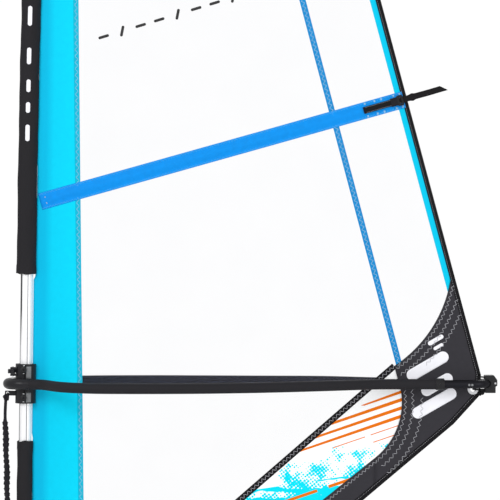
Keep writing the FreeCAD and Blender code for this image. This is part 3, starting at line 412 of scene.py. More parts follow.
class Finish:
    """A material under construction: its tree, its Principled shader and its Object coordinates."""

    def __init__(self, name, color, roughness, metallic=0.0):
        self.material = bpy.data.materials.new(name)
        self.material.use_nodes = True
        self.tree = self.material.node_tree
        self.shader = self.tree.nodes["Principled BSDF"]
        self.place = self.tree.nodes.new("ShaderNodeTexCoord").outputs["Object"]
        self.color = color
        self.roughness = roughness
        self.shader.inputs["Base Color"].default_value = (*color, 1.0)
        self.shader.inputs["Roughness"].default_value = roughness
        self.shader.inputs["Metallic"].default_value = metallic

    def work(self, operation, first, second=None, clamp=False):
        """A Math node of this material."""
        return math_node(self.tree, operation, first, second, clamp)

    def axes(self):
        """The place's three numbers."""
        parts = self.tree.nodes.new("ShaderNodeSeparateXYZ")
        self.tree.links.new(self.place, parts.inputs[0])
        return parts.outputs

    def behind_mast(self):
        """How far behind the mast's leaning centre line a place is, and its height."""
        x, _, z = self.axes()
        return self.work("SUBTRACT", x, self.work("MULTIPLY", z, MAST_AXIS[0])), z

    def ramp(self, start, value, rate):
        """Nought to one as the value falls below its start, at a rate."""
        return self.work("MULTIPLY", self.work("SUBTRACT", start, value), rate, True)

    def away(self, value, centre):
        """How far a value is from a centre."""
        return self.work("ABSOLUTE", self.work("SUBTRACT", value, centre))

    def group(self, group, setting, value):
        """A shared group, fed with the place."""
        node = self.tree.nodes.new("ShaderNodeGroup")
        node.node_tree = group
        node.inputs[setting].default_value = value
        self.tree.links.new(self.place, node.inputs["Vector"])
        return node

    def shaded(self, mask, dark, light):
        """Base colour between two strengths of the finish's own colour."""
        low = tuple(c * dark for c in self.color)
        high = tuple(min(c * light, 1.0) for c in self.color)
        self.paint(mixed(self.tree, mask, low, high))

    def paint(self, socket):
        """The base colour from a socket."""
        self.tree.links.new(socket, self.shader.inputs["Base Color"])

    def rough(self, mask, low, high):
        """Roughness between two values by a mask."""
        span = self.work("MULTIPLY", mask, high - low)
        self.tree.links.new(self.work("ADD", span, low), self.shader.inputs["Roughness"])

    def relief(self, height, distance):
        """A bump of a real height, in metres."""
        bump = self.tree.nodes.new("ShaderNodeBump")
        bump.inputs["Distance"].default_value = distance
        self.tree.links.new(height, bump.inputs["Height"])
        self.tree.links.new(bump.outputs["Normal"], self.shader.inputs["Normal"])

    def set(self, **values):
        """Constants, straight on the shader's sockets."""
        for name, value in values.items():
            self.shader.inputs[name.replace("_", " ")].default_value = value
        return self


def srgb(red, green, blue):
    """A colour given on the usual 0 to 255 scale, as the shader's linear one."""
    scaled = [c / 255 for c in (red, green, blue)]
    return tuple(c / 12.92 if c <= 0.04045 else ((c + 0.055) / 1.055) ** 2.4 for c in scaled)


def cloth(name, color, threads=2600.0, roughness=0.6, depth=0.00012, contrast=0.12):
    """Woven sailcloth, tape or webbing."""
    finish = Finish(name, color, roughness).set(Specular_IOR_Level=0.12)
    weave = finish.group(WEAVE, "Threads", threads)
    finish.shaded(weave.outputs["Shade"], 1 - contrast, 1 + contrast)
    finish.rough(weave.outputs["Shade"], roughness - 0.08, roughness + 0.1)
    finish.relief(weave.outputs["Height"], depth)
    return finish


def moulded(name, color, roughness=0.42, fineness=1400.0, depth=0.00006):
    """Moulded plastic or rubber."""
    finish = Finish(name, color, roughness).set(Specular_IOR_Level=0.22)
    grain = finish.group(GRAIN, "Fineness", fineness)
    finish.shaded(grain.outputs["Polish"], 0.8, 1.25)
    finish.rough(grain.outputs["Polish"], roughness - 0.12, roughness + 0.12)
    finish.relief(grain.outputs["Height"], depth)
    return finish


def metal(name, color, roughness, lengthwise=True):
    """Drawn or polished metal, with faint marks along Z where it is drawn."""
    finish = Finish(name, color, roughness, 1.0)
    mapping = finish.tree.nodes.new("ShaderNodeMapping")
    mapping.inputs["Scale"].default_value = (1, 1, 0.004 if lengthwise else 1)
    finish.tree.links.new(finish.place, mapping.inputs["Vector"])
    marks = noise(finish.tree, mapping.outputs[0], 900.0, 4.0)
    finish.rough(marks, roughness * 0.6, roughness * 1.5)
    finish.shaded(marks, 0.93, 1.05)
    finish.relief(marks, 0.00001)
    return finish


def mast_alloy():
    """Bright drawn tube, with painted reflections: a fine grey line down each side, grey towards the front edge,
    and above 1.5 m a painted dark reflection line along that edge.
    """
    finish = metal("mast_alloy", srgb(246, 246, 248), 0.34)
    behind, height = finish.behind_mast()
    # painted reflections: a fine grey line down the tube, grey towards its front edge, and above 1.5 m a
    # near-black line along that edge
    key = finish.ramp(0.0016, finish.away(behind, 0.0052), 1400.0)
    front = finish.ramp(-0.0150, behind, 700.0)
    shade = finish.ramp(0.0027, finish.away(behind, -0.0145), 900.0)
    high = finish.work("MULTIPLY", finish.work("SUBTRACT", height, 1.50), 9.0, True)
    line = finish.work("ADD", key, front, True)
    # base colour with the painted grey reflection lines, then the painted dark reflection line over it
    drawn = mixed(finish.tree, line, srgb(250, 250, 252), srgb(120, 121, 126))
    finish.paint(mixed(finish.tree, finish.work("MULTIPLY", shade, high), drawn, srgb(14, 14, 16)))
    return finish.set(Metallic=0.25)


def make_finishes():
    """Every material slot's finish, by slot, and the cyan seam tape's."""
    made = {
        "mast_alloy": mast_alloy(),
        "boom_alloy": metal("boom_alloy", srgb(40, 40, 44), 0.42, False),
        "black_plastic": moulded("black_plastic", srgb(30, 30, 32)),
        "clamp_plastic": moulded("clamp_plastic", srgb(30, 30, 34), 0.34),
        "sheave_plastic": moulded("sheave_plastic", srgb(120, 122, 124), 0.35),
        "black_webbing": cloth("black_webbing", srgb(26, 25, 27), 3200.0, 0.75, 0.0003),
        "black_sleeve": cloth("black_sleeve", srgb(36, 35, 38), 2400.0, 0.7, 0.0002),
        "blue_cloth": cloth("blue_cloth", srgb(2, 128, 214)),
        "black_patch": cloth("black_patch", srgb(50, 49, 54), 1500.0, 0.55, 0.00015),
        "black_tape": cloth("black_tape", srgb(20, 19, 22), 2600.0, 0.65, 0.0002),
        "blue_tape": cloth("blue_tape", srgb(22, 134, 200)),
        "blue_pocket": cloth("blue_pocket", srgb(4, 140, 228)),
        "batten_rod": moulded("batten_rod", srgb(214, 206, 178), 0.3),
        "bright_steel": metal("bright_steel", srgb(214, 215, 218), 0.2, False),
        "soft_rubber": moulded("soft_rubber", srgb(34, 34, 36), 0.7),
        "grip_foam": moulded("grip_foam", srgb(30, 29, 33), 0.7, 2600.0, 0.0002),
        "black_rope": cloth("black_rope", srgb(37, 36, 40), 2600.0, 0.8, 0.0004),
        "black_line": cloth("black_line", srgb(28, 28, 30), 3600.0, 0.7, 0.0003),
        "cyan_cloth": cyan_cloth(),
        "clear_film": clear_film(),
        "printed_cloth": printed_cloth(),
        "cyan_seam": cloth("cyan_seam", srgb(14, 176, 206)),
    }
    return {slot: finish.material for slot, finish in made.items()}


def cyan_cloth():
    """Bright cyan cloth, with painted shade: a darker band beside the sleeve and a broad darkening towards the
    mast; a shade deeper at the leech.
    """
    finish = Finish("cyan_cloth", srgb(0, 215, 244), 0.5).set(Specular_IOR_Level=0.08)
    weave = finish.group(WEAVE, "Threads", 2600.0)
    behind, _ = finish.behind_mast()
    # painted shade: a darker band beside the sleeve, and a broad darkening towards the mast
    painted_band_shade = finish.work("MULTIPLY", finish.ramp(0.075, behind, 45.0), 0.55)
    painted_broad_shade = finish.work("MULTIPLY", finish.ramp(0.16, behind, 9.0), 0.35)
    rear = finish.work("MULTIPLY", finish.work("GREATER_THAN", behind, 0.60), 0.5)
    deep = finish.work("ADD", finish.work("ADD", painted_band_shade, painted_broad_shade, True), rear, True)
    plain = mixed(finish.tree, weave.outputs["Shade"], srgb(0, 204, 236), srgb(0, 215, 246))
    # darker cyan where the painted shade falls and at the leech
    finish.paint(mixed(finish.tree, deep, plain, srgb(0, 178, 220)))
    finish.relief(weave.outputs["Height"], 0.0001)
    return finish


def clear_film():
    """Clear window film: nearly all of what is behind shows, with a light gloss."""
    finish = Finish("clear_film", srgb(128, 138, 172), 0.12)
    cloudy = noise(finish.tree, finish.place, 6.0, 3.0)
    thin = finish.work("MULTIPLY", cloudy, 0.024)
    finish.tree.links.new(finish.work("ADD", thin, 0.015), finish.shader.inputs["Alpha"])
    finish.relief(cloudy, 0.002)
    finish.rough(cloudy, 0.08, 0.18)
    return finish


def printed_cloth():
    """White cloth printed with slanting orange stripes, broad, then fine, and cyan dots that grow downwards.

    `along` runs forwards and aft with the stripes, `over` square to them, and `rank` counts them upwards."""
    finish = Finish("printed_cloth", srgb(251, 252, 253), 0.5).set(Specular_IOR_Level=0.08)
    tree, work, away = finish.tree, finish.work, finish.away
    slope, pitch = math.radians(18.9), 0.0234
    x, _, z = finish.axes()
    east = work("SUBTRACT", x, float(CLEW[0]))
    north = work("SUBTRACT", z, float(CLEW[2]))
    along = work("ADD", work("MULTIPLY", east, math.cos(slope)), work("MULTIPLY", north, math.sin(slope)))
    over = work("SUBTRACT", work("MULTIPLY", north, math.cos(slope)), work("MULTIPLY", east, math.sin(slope)))
    rank = work("ADD", work("MULTIPLY", over, 1 / pitch), 0.84)
    off = away(work("FRACT", work("ADD", rank, 8.0)), 0.5)
    width = work("MINIMUM", work("ADD", work("MULTIPLY", along, 0.274), 0.285), 0.215)
    reach = work("ADD", along, work("SUBTRACT", 1.735, work("MULTIPLY", rank, 0.4)))
    broad = work("MULTIPLY", work("LESS_THAN", off, work("MINIMUM", width, work("MULTIPLY", reach, 2.2))),
                 work("LESS_THAN", away(rank, 2.0), 2.0))
    middle_part = work("MULTIPLY", work("LESS_THAN", away(along, -0.404), 0.051),
                       work("GREATER_THAN", rank, -1.0))
    shown = work("MAXIMUM", middle_part, work("GREATER_THAN", along, -0.335))
    fine = work("MULTIPLY", work("MULTIPLY", work("LESS_THAN", off, 0.06), shown),
                work("LESS_THAN", away(rank, -1.0), 1.0))
    lowest = work("MULTIPLY", work("LESS_THAN", away(rank, -5.03), 0.19),
                  work("GREATER_THAN", away(along, -0.523), 0.018))
    lowest = work("MULTIPLY", lowest, work("GREATER_THAN", along, -0.70))
    orange = work("MAXIMUM", work("MAXIMUM", broad, fine), lowest)
    swirl = noise(tree, finish.place, 9.0, 4.0, 0.6)
    low = work("MULTIPLY", work("ADD", over, work("ADD", work("MULTIPLY", along, 0.1826), 0.0995)), -5.2)
    drift = work("ADD", work("MULTIPLY", work("SUBTRACT", swirl, 0.5), 3.2), low)
    drift = work("MULTIPLY", drift, 1.0, True)
    turned = tree.nodes.new("ShaderNodeMapping")
    turned.inputs["Rotation"].default_value = (0, math.radians(38), 0)
    tree.links.new(finish.place, turned.inputs["Vector"])
    dots = tree.nodes.new("ShaderNodeTexVoronoi")
    dots.inputs["Scale"].default_value = 118.0
    dots.inputs["Randomness"].default_value = 0.12
    tree.links.new(turned.outputs[0], dots.inputs["Vector"])
    ink = work("LESS_THAN", dots.outputs["Distance"], work("MULTIPLY", drift, 1.05))
    streak = tree.nodes.new("ShaderNodeTexWave")
    for label, value in (("Scale", 9.0), ("Distortion", 9.0), ("Detail", 2.0)):
        streak.inputs[label].default_value = value
    streak.bands_direction = "Z"
    tree.links.new(finish.place, streak.inputs["Vector"])
    solid = work("MULTIPLY", work("GREATER_THAN", streak.outputs["Fac"], 0.62),
                 work("GREATER_THAN", low, 0.55))
    ground = mixed(tree, work("MAXIMUM", ink, solid), srgb(251, 252, 253), srgb(0, 222, 242))
    finish.paint(mixed(tree, orange, ground, srgb(228, 114, 4)))
    finish.relief(finish.group(WEAVE, "Threads", 2600.0).outputs["Height"], 0.0001)
    return finish


def plain_print(name, color):
    """Printed or sewn-on film of one ink, with a faint mottle."""
    finish = Finish(name, color, 0.45)
    grain = finish.group(GRAIN, "Fineness", 700.0)
    finish.shaded(grain.outputs["Polish"], 0.94, 1.04)
    finish.relief(grain.outputs["Height"], 0.00003)
    return finish.material


FINISHES = make_finishes()
WHITE_PRINT = plain_print("white_print", srgb(240, 240, 246))
BLACK_PRINT = plain_print("black_print", srgb(22, 22, 24))
PALE_THREAD = plain_print("pale_thread", srgb(170, 214, 236))
GREY_THREAD = plain_print("grey_thread", srgb(176, 176, 182))
BLUE_THREAD = plain_print("blue_thread", srgb(96, 190, 240))

# ---------------------------------------------------------------- camera, light and floor


def make_camera():
    """A long lens, level, square to the sail, from the near side."""
    data = bpy.data.cameras.new("camera")
    data.sensor_width = 36.0
    data.lens = 148.8
    camera = bpy.data.objects.new("camera", data)
    bpy.context.scene.collection.objects.link(camera)
    camera.location = (0.689, -6.2, 1.790)
    camera.rotation_euler = (math.pi / 2, 0, 0)
    bpy.context.scene.camera = camera


def make_light():
    """Even white surroundings, two large soft lamps in front and one behind."""
    world = bpy.data.worlds.new("studio")
    bpy.context.scene.world = world
    world.use_nodes = True
    tree = world.node_tree
    shade = tree.nodes["Background"]
    shade.inputs["Color"].default_value = (1, 1, 1, 1)
    seen = tree.nodes.new("ShaderNodeLightPath").outputs["Is Camera Ray"]
    strength = math_node(tree, "ADD", math_node(tree, "MULTIPLY", seen, 0.32), 0.70)
    tree.links.new(strength, shade.inputs["Strength"])
    for name, place, size, power in (
        ("key_lamp", (-2.6, -4.6, 4.2), 2.4, 130),
        ("fill_lamp", (3.6, -4.2, 2.2), 2.6, 60),
        ("back_lamp", (1.5, 4.5, 4.0), 2.6, 60),
    ):
        lamp = bpy.data.lights.new(name, "AREA")
        lamp.size = size
        lamp.energy = power
        obj = bpy.data.objects.new(name, lamp)
        bpy.context.scene.collection.objects.link(obj)
        obj.location = place
        aim = Vector((0.7, 0, 1.7)) - Vector(place)
        obj.rotation_euler = aim.to_track_quat("-Z", "Y").to_euler()


def make_floor():
    """A pale round floor just under the mast foot's stud."""
    finish = Finish("pale_floor", (0.86, 0.86, 0.86), 0.7)
    haze = noise(finish.tree, finish.place, 1.5)
    finish.shaded(haze, 0.98, 1.02)
    turn = circle(5.0, 96)
    points = np.concatenate([[[0.7, 0, 0]], np.stack([turn[:, 0] + 0.7, turn[:, 1], turn[:, 0] * 0], axis=1)])
    points[:, 2] = CAD_LOW[2] - 0.002
    faces = [[0, 1 + k, 1 + (k + 1) % 96] for k in range(96)]
    mesh = bpy.data.meshes.new("floor")
    mesh.from_pydata(points.tolist(), [], faces)
    mesh.materials.append(finish.material)
    floor = bpy.data.objects.new("floor", mesh)
    bpy.context.scene.collection.objects.link(floor)


# ---------------------------------------------------------------- cords

UPHAUL_ROUTE = [
    (-0.0428, 0, 1.3585), (-0.0436, 0, 1.342), (-0.0450, 0, 1.318), (-0.046, 0, 1.286),
    (-0.0415, 0, 1.165), (-0.0385, 0, 1.010), (-0.0365, 0, 0.720), (-0.036, 0, 0.470), (-0.036, 0, 0.226),
]
OUTHAUL_ROUTE = [
    (1.3914, -0.013, 1.371), (1.382, -0.013, 1.371), (1.370, -0.014, 1.372), (1.358, -0.009, 1.373),
    (1.358, 0.009, 1.373), (1.370, 0.014, 1.372), (1.382, 0.013, 1.371), (1.3914, 0.013, 1.371),
]
CLEAT_ROUTE = [
    (1.426, 0, 1.3991), (1.406, 0.002, 1.4064), (1.390, 0.008, 1.4085), (1.362, 0.032, 1.4085),
    (1.335, 0.042, 1.4085), (1.284, 0.042, 1.4084),
]
DOWNHAUL_ROUTE = [
    (0.0616, 0, 0.148), (0.0616, 0, 0.180), (0.0616, 0, 0.211), (0.0610, 0, 0.2256), (0.050, 0, 0.2262),
    (0.0390, 0, 0.2256), (0.0384, 0, 0.211), (0.0384, 0, 0.172), (0.0384, 0, 0.137), (0.0388, 0, 0.1236),
    (0.050, 0, 0.1234), (0.068, 0, 0.1234), (0.086, 0, 0.1234),
]


def smooth_line(name, route):
    """Points along the smooth curve that a cord's route controls."""
    curve = bpy.data.curves.new(name, "CURVE")
    curve.dimensions = "3D"
    spline = curve.splines.new("NURBS")
    spline.points.add(len(route) - 1)
    spline.points.foreach_set("co", np.array([(*p, 1.0) for p in route], float).ravel())
    spline.order_u = 3
    spline.use_endpoint_u = True
    spline.resolution_u = 24
    obj = bpy.data.objects.new(name, curve)
    bpy.context.scene.collection.objects.link(obj)
    bpy.context.view_layer.update()
    mesh = bpy.data.meshes.new_from_object(obj.evaluated_get(bpy.context.evaluated_depsgraph_get()))
    bpy.data.objects.remove(obj)
    return spots_of(mesh)


def length_of(line):
    """A line's length."""
    return float(np.linalg.norm(np.diff(line, axis=0), axis=1).sum())


def braided(line, radius, strands=6, lay=0.03, turns_sides=6):
    """A braided cord: strands that wind both ways round a core, each a helix of the cord's radius."""
    run = np.concatenate([[0], np.cumsum(np.linalg.norm(np.diff(line, axis=0), axis=1))])
    side, up = frames_of(line, np.array([0.3, 1.0, 0.2]))
    parts = [round_cord(line, radius * 0.82, 10, (0.3, 1.0, 0.2))]
    for sense in (-1, 1):
        for k in range(strands // 2):
            turn = sense * 2 * math.pi * run / lay + 4 * math.pi * k / strands
            wave = 1 + 0.06 * np.cos(2 * turn * strands / 2)
            reach = radius * 0.78 * wave[:, None]
            strand = line + reach * (np.cos(turn)[:, None] * side + np.sin(turn)[:, None] * up)
            parts.append(round_cord(strand, radius * 0.22, turns_sides, (0.3, 1.0, 0.2)))
    return joined(parts)


def make_uphaul():
    """Uphaul: rope from the clamp's eye, then the elastic in its gathered cover, down to the hook.

    The cover's radius swells and pinches like gathered cloth: uneven rings of crinkles along its length."""
    line = resampled(smooth_line("uphaul_line", UPHAUL_ROUTE), 900)
    run = (line[0, 2] - line[:, 2]) / (line[0, 2] - line[-1, 2])
    down = line[0, 2] - line[:, 2]
    gathered = np.clip((run - 0.065) / 0.012, 0, 1) * np.clip((1 - run) / 0.01, 0, 1)
    rope_radius = 0.0047
    crinkle = (0.0011 * np.sin(2 * math.pi * down / 0.0165)
               + 0.0006 * np.sin(2 * math.pi * down / 0.0071 + 1.3))
    swell = 0.0006 * np.sin(2 * math.pi * down / 0.11)
    sides = 20
    turn = np.linspace(0, 2 * math.pi, sides, endpoint=False)
    uneven = 0.0009 * np.sin(3 * turn[None] + 60 * down[:, None]) * gathered[:, None]
    radius = rope_radius + gathered * (0.0082 - rope_radius + crinkle + swell)
    spread = radius[:, None] + uneven
    side, up = frames_of(line, np.array([0.0, 1.0, 0.0]))
    profile = np.stack([spread * np.cos(turn), spread * np.sin(turn)], axis=-1)
    cover = outward(tube_parts(line, side, up, profile))
    cord = piece("uphaul", cover, FINISHES["black_rope"])
    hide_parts("uphaul_elastic", "uphaul_rope")
    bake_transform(cord)


def make_eye_loop():
    """The rope's loop through the clamp's eye, and the stopper knot under it."""
    steps, sides, radius, middle_of_loop = 48, 10, 0.0098, np.array([-0.0375, 0, 1.3505])
    turn = np.linspace(0, 2 * math.pi, steps, endpoint=False)
    out = np.stack([0 * turn, np.sin(turn), np.cos(turn)], axis=1)
    side = np.broadcast_to([1.0, 0, 0], out.shape)
    points, _ = tube_parts(middle_of_loop + radius * out, side, out, circle(0.0028, sides), capped=False)
    faces = grid_faces(steps, sides, wrap_rows=True, wrap_columns=True).tolist()
    loop = outward((points, faces))
    knot = knot_parts(np.array([-0.0430, 0, 1.3475]), 0.0085)
    ring = piece("uphaul_loop", joined([loop, knot]), FINISHES["black_rope"])
    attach(ring, "clamp")


def knot_parts(centre, size, cord=0.4):
    """An overhand knot: a trefoil curve, tightened, carried by a round cord."""
    turn = np.linspace(0, 2 * math.pi, 97)[:-1]
    shape = np.stack([np.sin(turn) + 2 * np.sin(2 * turn), -np.sin(3 * turn),
                      np.cos(turn) - 2 * np.cos(2 * turn)],
                     axis=1)
    line = centre + shape * size * np.array([0.28, 0.42, 0.28])
    along = np.roll(line, -1, axis=0) - np.roll(line, 1, axis=0)
    along /= np.linalg.norm(along, axis=1)[:, None]
    side = np.cross(along, line - centre)
    side /= np.linalg.norm(side, axis=1)[:, None]
    up = np.cross(side, along)
    points, _ = tube_parts(line, side, up, circle(size * cord, 8), capped=False)
    return outward((points, grid_faces(96, 8, wrap_rows=True, wrap_columns=True).tolist()))


def make_lines():
    """Outhaul and downhaul lines, each a braided cord along its own route."""
    radius = 0.0024
    for name, route, body, node in (
        ("outhaul_line_clew", OUTHAUL_ROUTE, None, "outhaul_clew_line"),
        ("outhaul_line_cleat", CLEAT_ROUTE, "tail", "outhaul_cleat_line"),
        ("downhaul_cord", DOWNHAUL_ROUTE, "rig", "downhaul_line"),
    ):
        line = smooth_line(name + "_route", route)
        line = resampled(line, int(length_of(line) / 0.0012))
        cord = piece(name, braided(line, radius, lay=0.014), FINISHES["black_line"])
        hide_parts(node)
        if body:
            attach(cord, body)
        else:
            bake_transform(cord)
    knot = piece("outhaul_knot", joined([knot_parts(np.array([1.3845, -0.0165, 1.3665]), 0.0085),
                                         knot_parts(np.array([1.378, -0.0150, 1.3600]), 0.0055)]),
                 FINISHES["black_line"])
    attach(knot, "tail")


# ---------------------------------------------------------------- sail panels


def patch_between(bottom, top, left, right):
    """A surface spanned by four edge lines: the two ruled surfaces added, less the corners' one.

    Bottom and top run from left to right, with as many points each, left and right from bottom to top."""
    u = np.linspace(0, 1, len(bottom))[None, :, None]
    v = np.linspace(0, 1, len(left))[:, None, None]
    across = (1 - v) * bottom[None] + v * top[None]
    upward = (1 - u) * left[:, None] + u * right[:, None]
    corners = ((1 - u) * (1 - v) * bottom[0] + u * (1 - v) * bottom[-1]
               + (1 - u) * v * top[0] + u * v * top[-1])
    return across + upward - corners


def sheet_parts(grid, thickness):
    """A sheet of cloth with two faces and a closed rim, from a grid of places in the sail's plane."""
    return shell_between(in_sail(grid, -thickness / 2), in_sail(grid, thickness / 2))


def sewn(name, grid, thickness, node, slot):
    """A sail panel that stands for its CAD node."""
    panel = piece(name, sheet_parts(grid, thickness), FINISHES[slot])
    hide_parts(node)
    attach(panel, "rig")
    return panel


def four_sided(node, low_left, low_right, high_right, high_left, columns, rows):
    """The grid of a CAD panel from its outline, split at the outline points nearest to four places."""
    loop = outline(node)
    a, b, c, d = (corner(loop, p) for p in (low_left, low_right, high_right, high_left))
    bottom = stretch(loop, a, b, columns)
    right = stretch(loop, b, c, rows)
    top = stretch(loop, c, d, columns)[::-1]
    left = stretch(loop, d, a, rows)[::-1]
    return patch_between(bottom, top, left, right)


# Each panel's slot, thickness, corners (x, z) from its low front one round by the foot, and grid.
FILM, CLOTH, PATCH = 0.0007, 0.0011, 0.0023
PANELS = {
    "luff_panel": ("cyan_cloth", CLOTH, ((0, 0.4), (0.2, 0.45), (0.2, 2.9), (0, 2.9)), 24, 160),
    "window_front": ("clear_film", FILM, ((0.2, 0.6), (1.12, 1.44), (0.7, 3.1), (0.15, 2.8)), 60, 100),
    "window_rear": ("clear_film", FILM, ((1.10, 1.4), (1.4, 1.5), (1.0, 3.1), (0.7, 3.0)), 30, 90),
    "leech_strip": ("cyan_cloth", CLOTH, ((1.28, 1.62), (1.35, 1.72), (0.95, 3.1), (0.9, 3.0)), 5, 90),
    "head_panel": ("blue_cloth", CLOTH, ((0, 2.7), (1.0, 2.9), (0.95, 3.2), (0.1, 3.7)), 60, 60),
    "foot_panel": ("printed_cloth", CLOTH, ((0.3, 0.5), (1.09, 1.15), (1.13, 1.45), (0.19, 0.45)), 90, 40),
    "foot_patch": ("black_patch", PATCH, ((0.33, 0.3), (1.07, 1.05), (1.07, 1.2), (0.33, 0.7)), 60, 12),
    "tack_patch": ("black_patch", PATCH, ((0.0, 0.2), (0.33, 0.4), (0.2, 0.6), (0.0, 0.7)), 24, 24),
}


def make_panels():
    """The panels but the clew patch: clear film, cyan and blue cloth, printed foot and dark corner patches."""
    for node, (slot, thickness, corners, columns, rows) in PANELS.items():
        sewn(node + "_cloth", four_sided(node, *corners, columns, rows), thickness, node, slot)


def make_clew_patch():
    """The clew patch: rings of points that go from the grommet's hole out to the patch's outline."""
    loop = outline("clew_patch")
    rim = resampled(np.concatenate([loop, loop[:1]]), 361)[:-1]
    heading = np.arctan2(rim[:, 1] - CLEW[2], rim[:, 0] - CLEW[0])
    hole = np.stack([CLEW[0] + 0.0105 * np.cos(heading), CLEW[2] + 0.0105 * np.sin(heading)], axis=1)
    share = np.linspace(0, 1, 20)[:, None, None] ** 1.3
    grid = (1 - share) * hole[None] + share * rim[None]
    walls = double_wall(in_sail(grid, -PATCH / 2), in_sail(grid, PATCH / 2))
    patch = piece("clew_patch_cloth", walls, FINISHES["black_patch"])
    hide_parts("clew_patch")
    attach(patch, "rig")


# ---------------------------------------------------------------- tapes, seams and stitches


def panel_edge(node, side, count):
    """One side of a panel's outline as evenly spaced points: 0 low, 1 right, 2 high, 3 left."""
    grid = four_sided(node, *PANELS[node][2], count, count)
    return (grid[0], grid[:, -1], grid[-1], grid[:, 0])[side]


def offset(line, distance):
    """The line moved sideways in the sail's plane, to the left of its direction."""
    return line + distance * leftward(line)


def threads(starts, ends, radius):
    """Short straight stitches: for each pair of places a four-sided bar, slightly sunk at its ends."""
    along = unit(ends - starts)
    out = np.broadcast_to([0.0, -1.0, 0.0], along.shape)
    side = unit(np.cross(along, out))
    middle_place = (starts + ends) / 2 + out * radius * 0.5
    rings = []
    for place, width in ((starts, 0.6), (middle_place, 1.0), (ends, 0.6)):
        for across, lift in ((-1, 0), (0, 1), (1, 0), (0, -1)):
            rings.append(place + side * across * radius * width + out * lift * radius * width)
    points = np.stack(rings, axis=1).reshape(-1, 3)
    one = np.concatenate([grid_faces(3, 4, wrap_columns=True), [[3, 2, 1, 0]], [[8, 9, 10, 11]]])
    faces = (one[None] + 12 * np.arange(len(starts))[:, None, None]).reshape(-1, 4)
    return outward((points, faces.tolist()))


def zigzag(line, width, pitch, face, radius=0.0008):
    """A zigzag seam along a line (x, z): each stitch runs from one side of the line to the other."""
    steps = max(int(length_of(line) / (pitch / 2)), 4)
    spots = resampled(line, steps)
    sway = np.where(np.arange(steps) % 2 == 0, 0.5, -0.5) * width
    places = in_sail(spots + sway[:, None] * leftward(spots), face - radius * 0.6)
    return threads(places[:-1], places[1:], radius)


def running(line, pitch, face, radius=0.0004):
    """A straight seam: stitches two thirds of the pitch long."""
    spots = resampled(line, max(int(length_of(line) / pitch) * 3, 6))
    places = in_sail(spots, face - radius * 0.6)
    return threads(places[0:-2:3], places[2::3], radius)


def make_seams():
    """Seam tapes over the joins of the panels, each with a zigzag seam."""
    upright = panel_edge("window_rear", 3, 120)
    upright = np.concatenate([[upright[0] + (upright[0] - upright[3]) * 0.2], upright])
    luff = offset(panel_edge("luff_panel", 1, 120), 0.008)
    foot = panel_edge("window_front", 0, 80)
    strip = flat_profile(0.0093, 0.0006)
    tapes = (
        ("upright_seam_tape", ribbon(upright, strip, FILM_FACE), "blue_tape"),
        ("luff_seam_tape", ribbon(luff, flat_profile(0.0078, 0.0006), CLOTH_FACE), "cyan_seam"),
        ("foot_seam_tape", ribbon(foot, flat_profile(0.0095, 0.0008), CLOTH_FACE), "black_tape"),
    )
    for name, parts, finish in tapes:
        tape = piece(name, parts, FINISHES[finish])
        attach(tape, "rig")
        if name == "upright_seam_tape":
            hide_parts("seam_tapes")
    pale = [
        zigzag(upright, 0.0095, 0.0150, FILM_FACE - 0.0006, 0.0007),
        zigzag(luff, 0.0090, 0.0190, CLOTH_FACE - 0.0006, 0.0006),
    ]
    thread = piece("pale_seam_thread", joined(pale), PALE_THREAD, False)
    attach(thread, "rig")
    make_grey_seams(foot)


def make_grey_seams(foot):
    """Grey zigzag seams of the dark patches: along their edges, and two rows further in on the clew patch."""
    loop = outline("clew_patch")
    tip = corner(loop, (1.305, 1.7))
    arc_end = corner(loop, (1.122, 1.442))
    print_corner = corner(loop, (1.142, 1.367))
    print_low = corner(loop, (1.064, 1.166))
    hollow = stretch(loop, tip, arc_end, 90)
    inner = stretch(loop, print_corner, print_low, 60)
    patch_top = panel_edge("foot_patch", 2, 60)
    face = PATCH_FACE
    rows = [
        zigzag(offset(hollow, 0.0105)[4:], 0.0080, 0.0145, face),
        zigzag(offset(hollow, 0.032)[14:], 0.0080, 0.0145, face),
        zigzag(offset(hollow, 0.056)[24:70], 0.0080, 0.0145, face),
        zigzag(offset(inner, 0.0105), 0.0085, 0.0160, face),
        zigzag(offset(inner, 0.033), 0.0085, 0.0160, face),
        zigzag(offset(inner, 0.060)[6:], 0.0085, 0.0160, face),
        zigzag(offset(patch_top, -0.0105), 0.0075, 0.0135, face),
        zigzag(foot, 0.0095, 0.0140, CLOTH_FACE - 0.0008, 0.0007),
    ]
    thread = piece("grey_seam_thread", joined(rows), GREY_THREAD, False)
    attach(thread, "rig")


def folded_profile(width, thickness):
    """A tape folded round an edge: a long oval section, square where it ends on the cloth."""
    turn = np.linspace(-math.pi / 2, math.pi / 2, 7)
    nose = np.stack([0.0015 - 0.0015 * np.cos(turn), thickness / 2 * np.sin(turn)], axis=1)
    heel = [[width * 0.5, thickness * 0.5], [width * 0.93, thickness * 0.5], [width, thickness * 0.36],
            [width, -thickness * 0.36], [width * 0.93, -thickness * 0.5], [width * 0.5, -thickness * 0.5]]
    return np.concatenate([nose, heel])


def make_edge_tapes():
    """Black tapes folded round the leech and the foot, with a row of stitches along the inner edge."""
    leech_loop = outline("leech_tape")
    leech = stretch(leech_loop, corner(leech_loop, (1.39, 1.41)), corner(leech_loop, (0.1, 3.7)), 420)
    foot_loop = outline("foot_tape")
    foot = stretch(foot_loop, corner(foot_loop, (0.04, 0.22)), corner(foot_loop, (1.4, 1.43)), 320)
    stitched = []
    for name, line, node, width in (("leech_binding", leech, "leech_tape", 0.015),
                                    ("foot_binding", foot, "foot_tape", 0.017)):
        folded = ribbon(line, folded_profile(width, 0.0030))
        binding = piece(name, folded, FINISHES["black_tape"])
        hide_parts(node)
        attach(binding, "rig")
        stitched.append(running(offset(line, width * 0.72), 0.0062, -0.0015))
    thread = piece("binding_thread", joined(stitched), GREY_THREAD, False)
    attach(thread, "rig")


# ---------------------------------------------------------------- battens


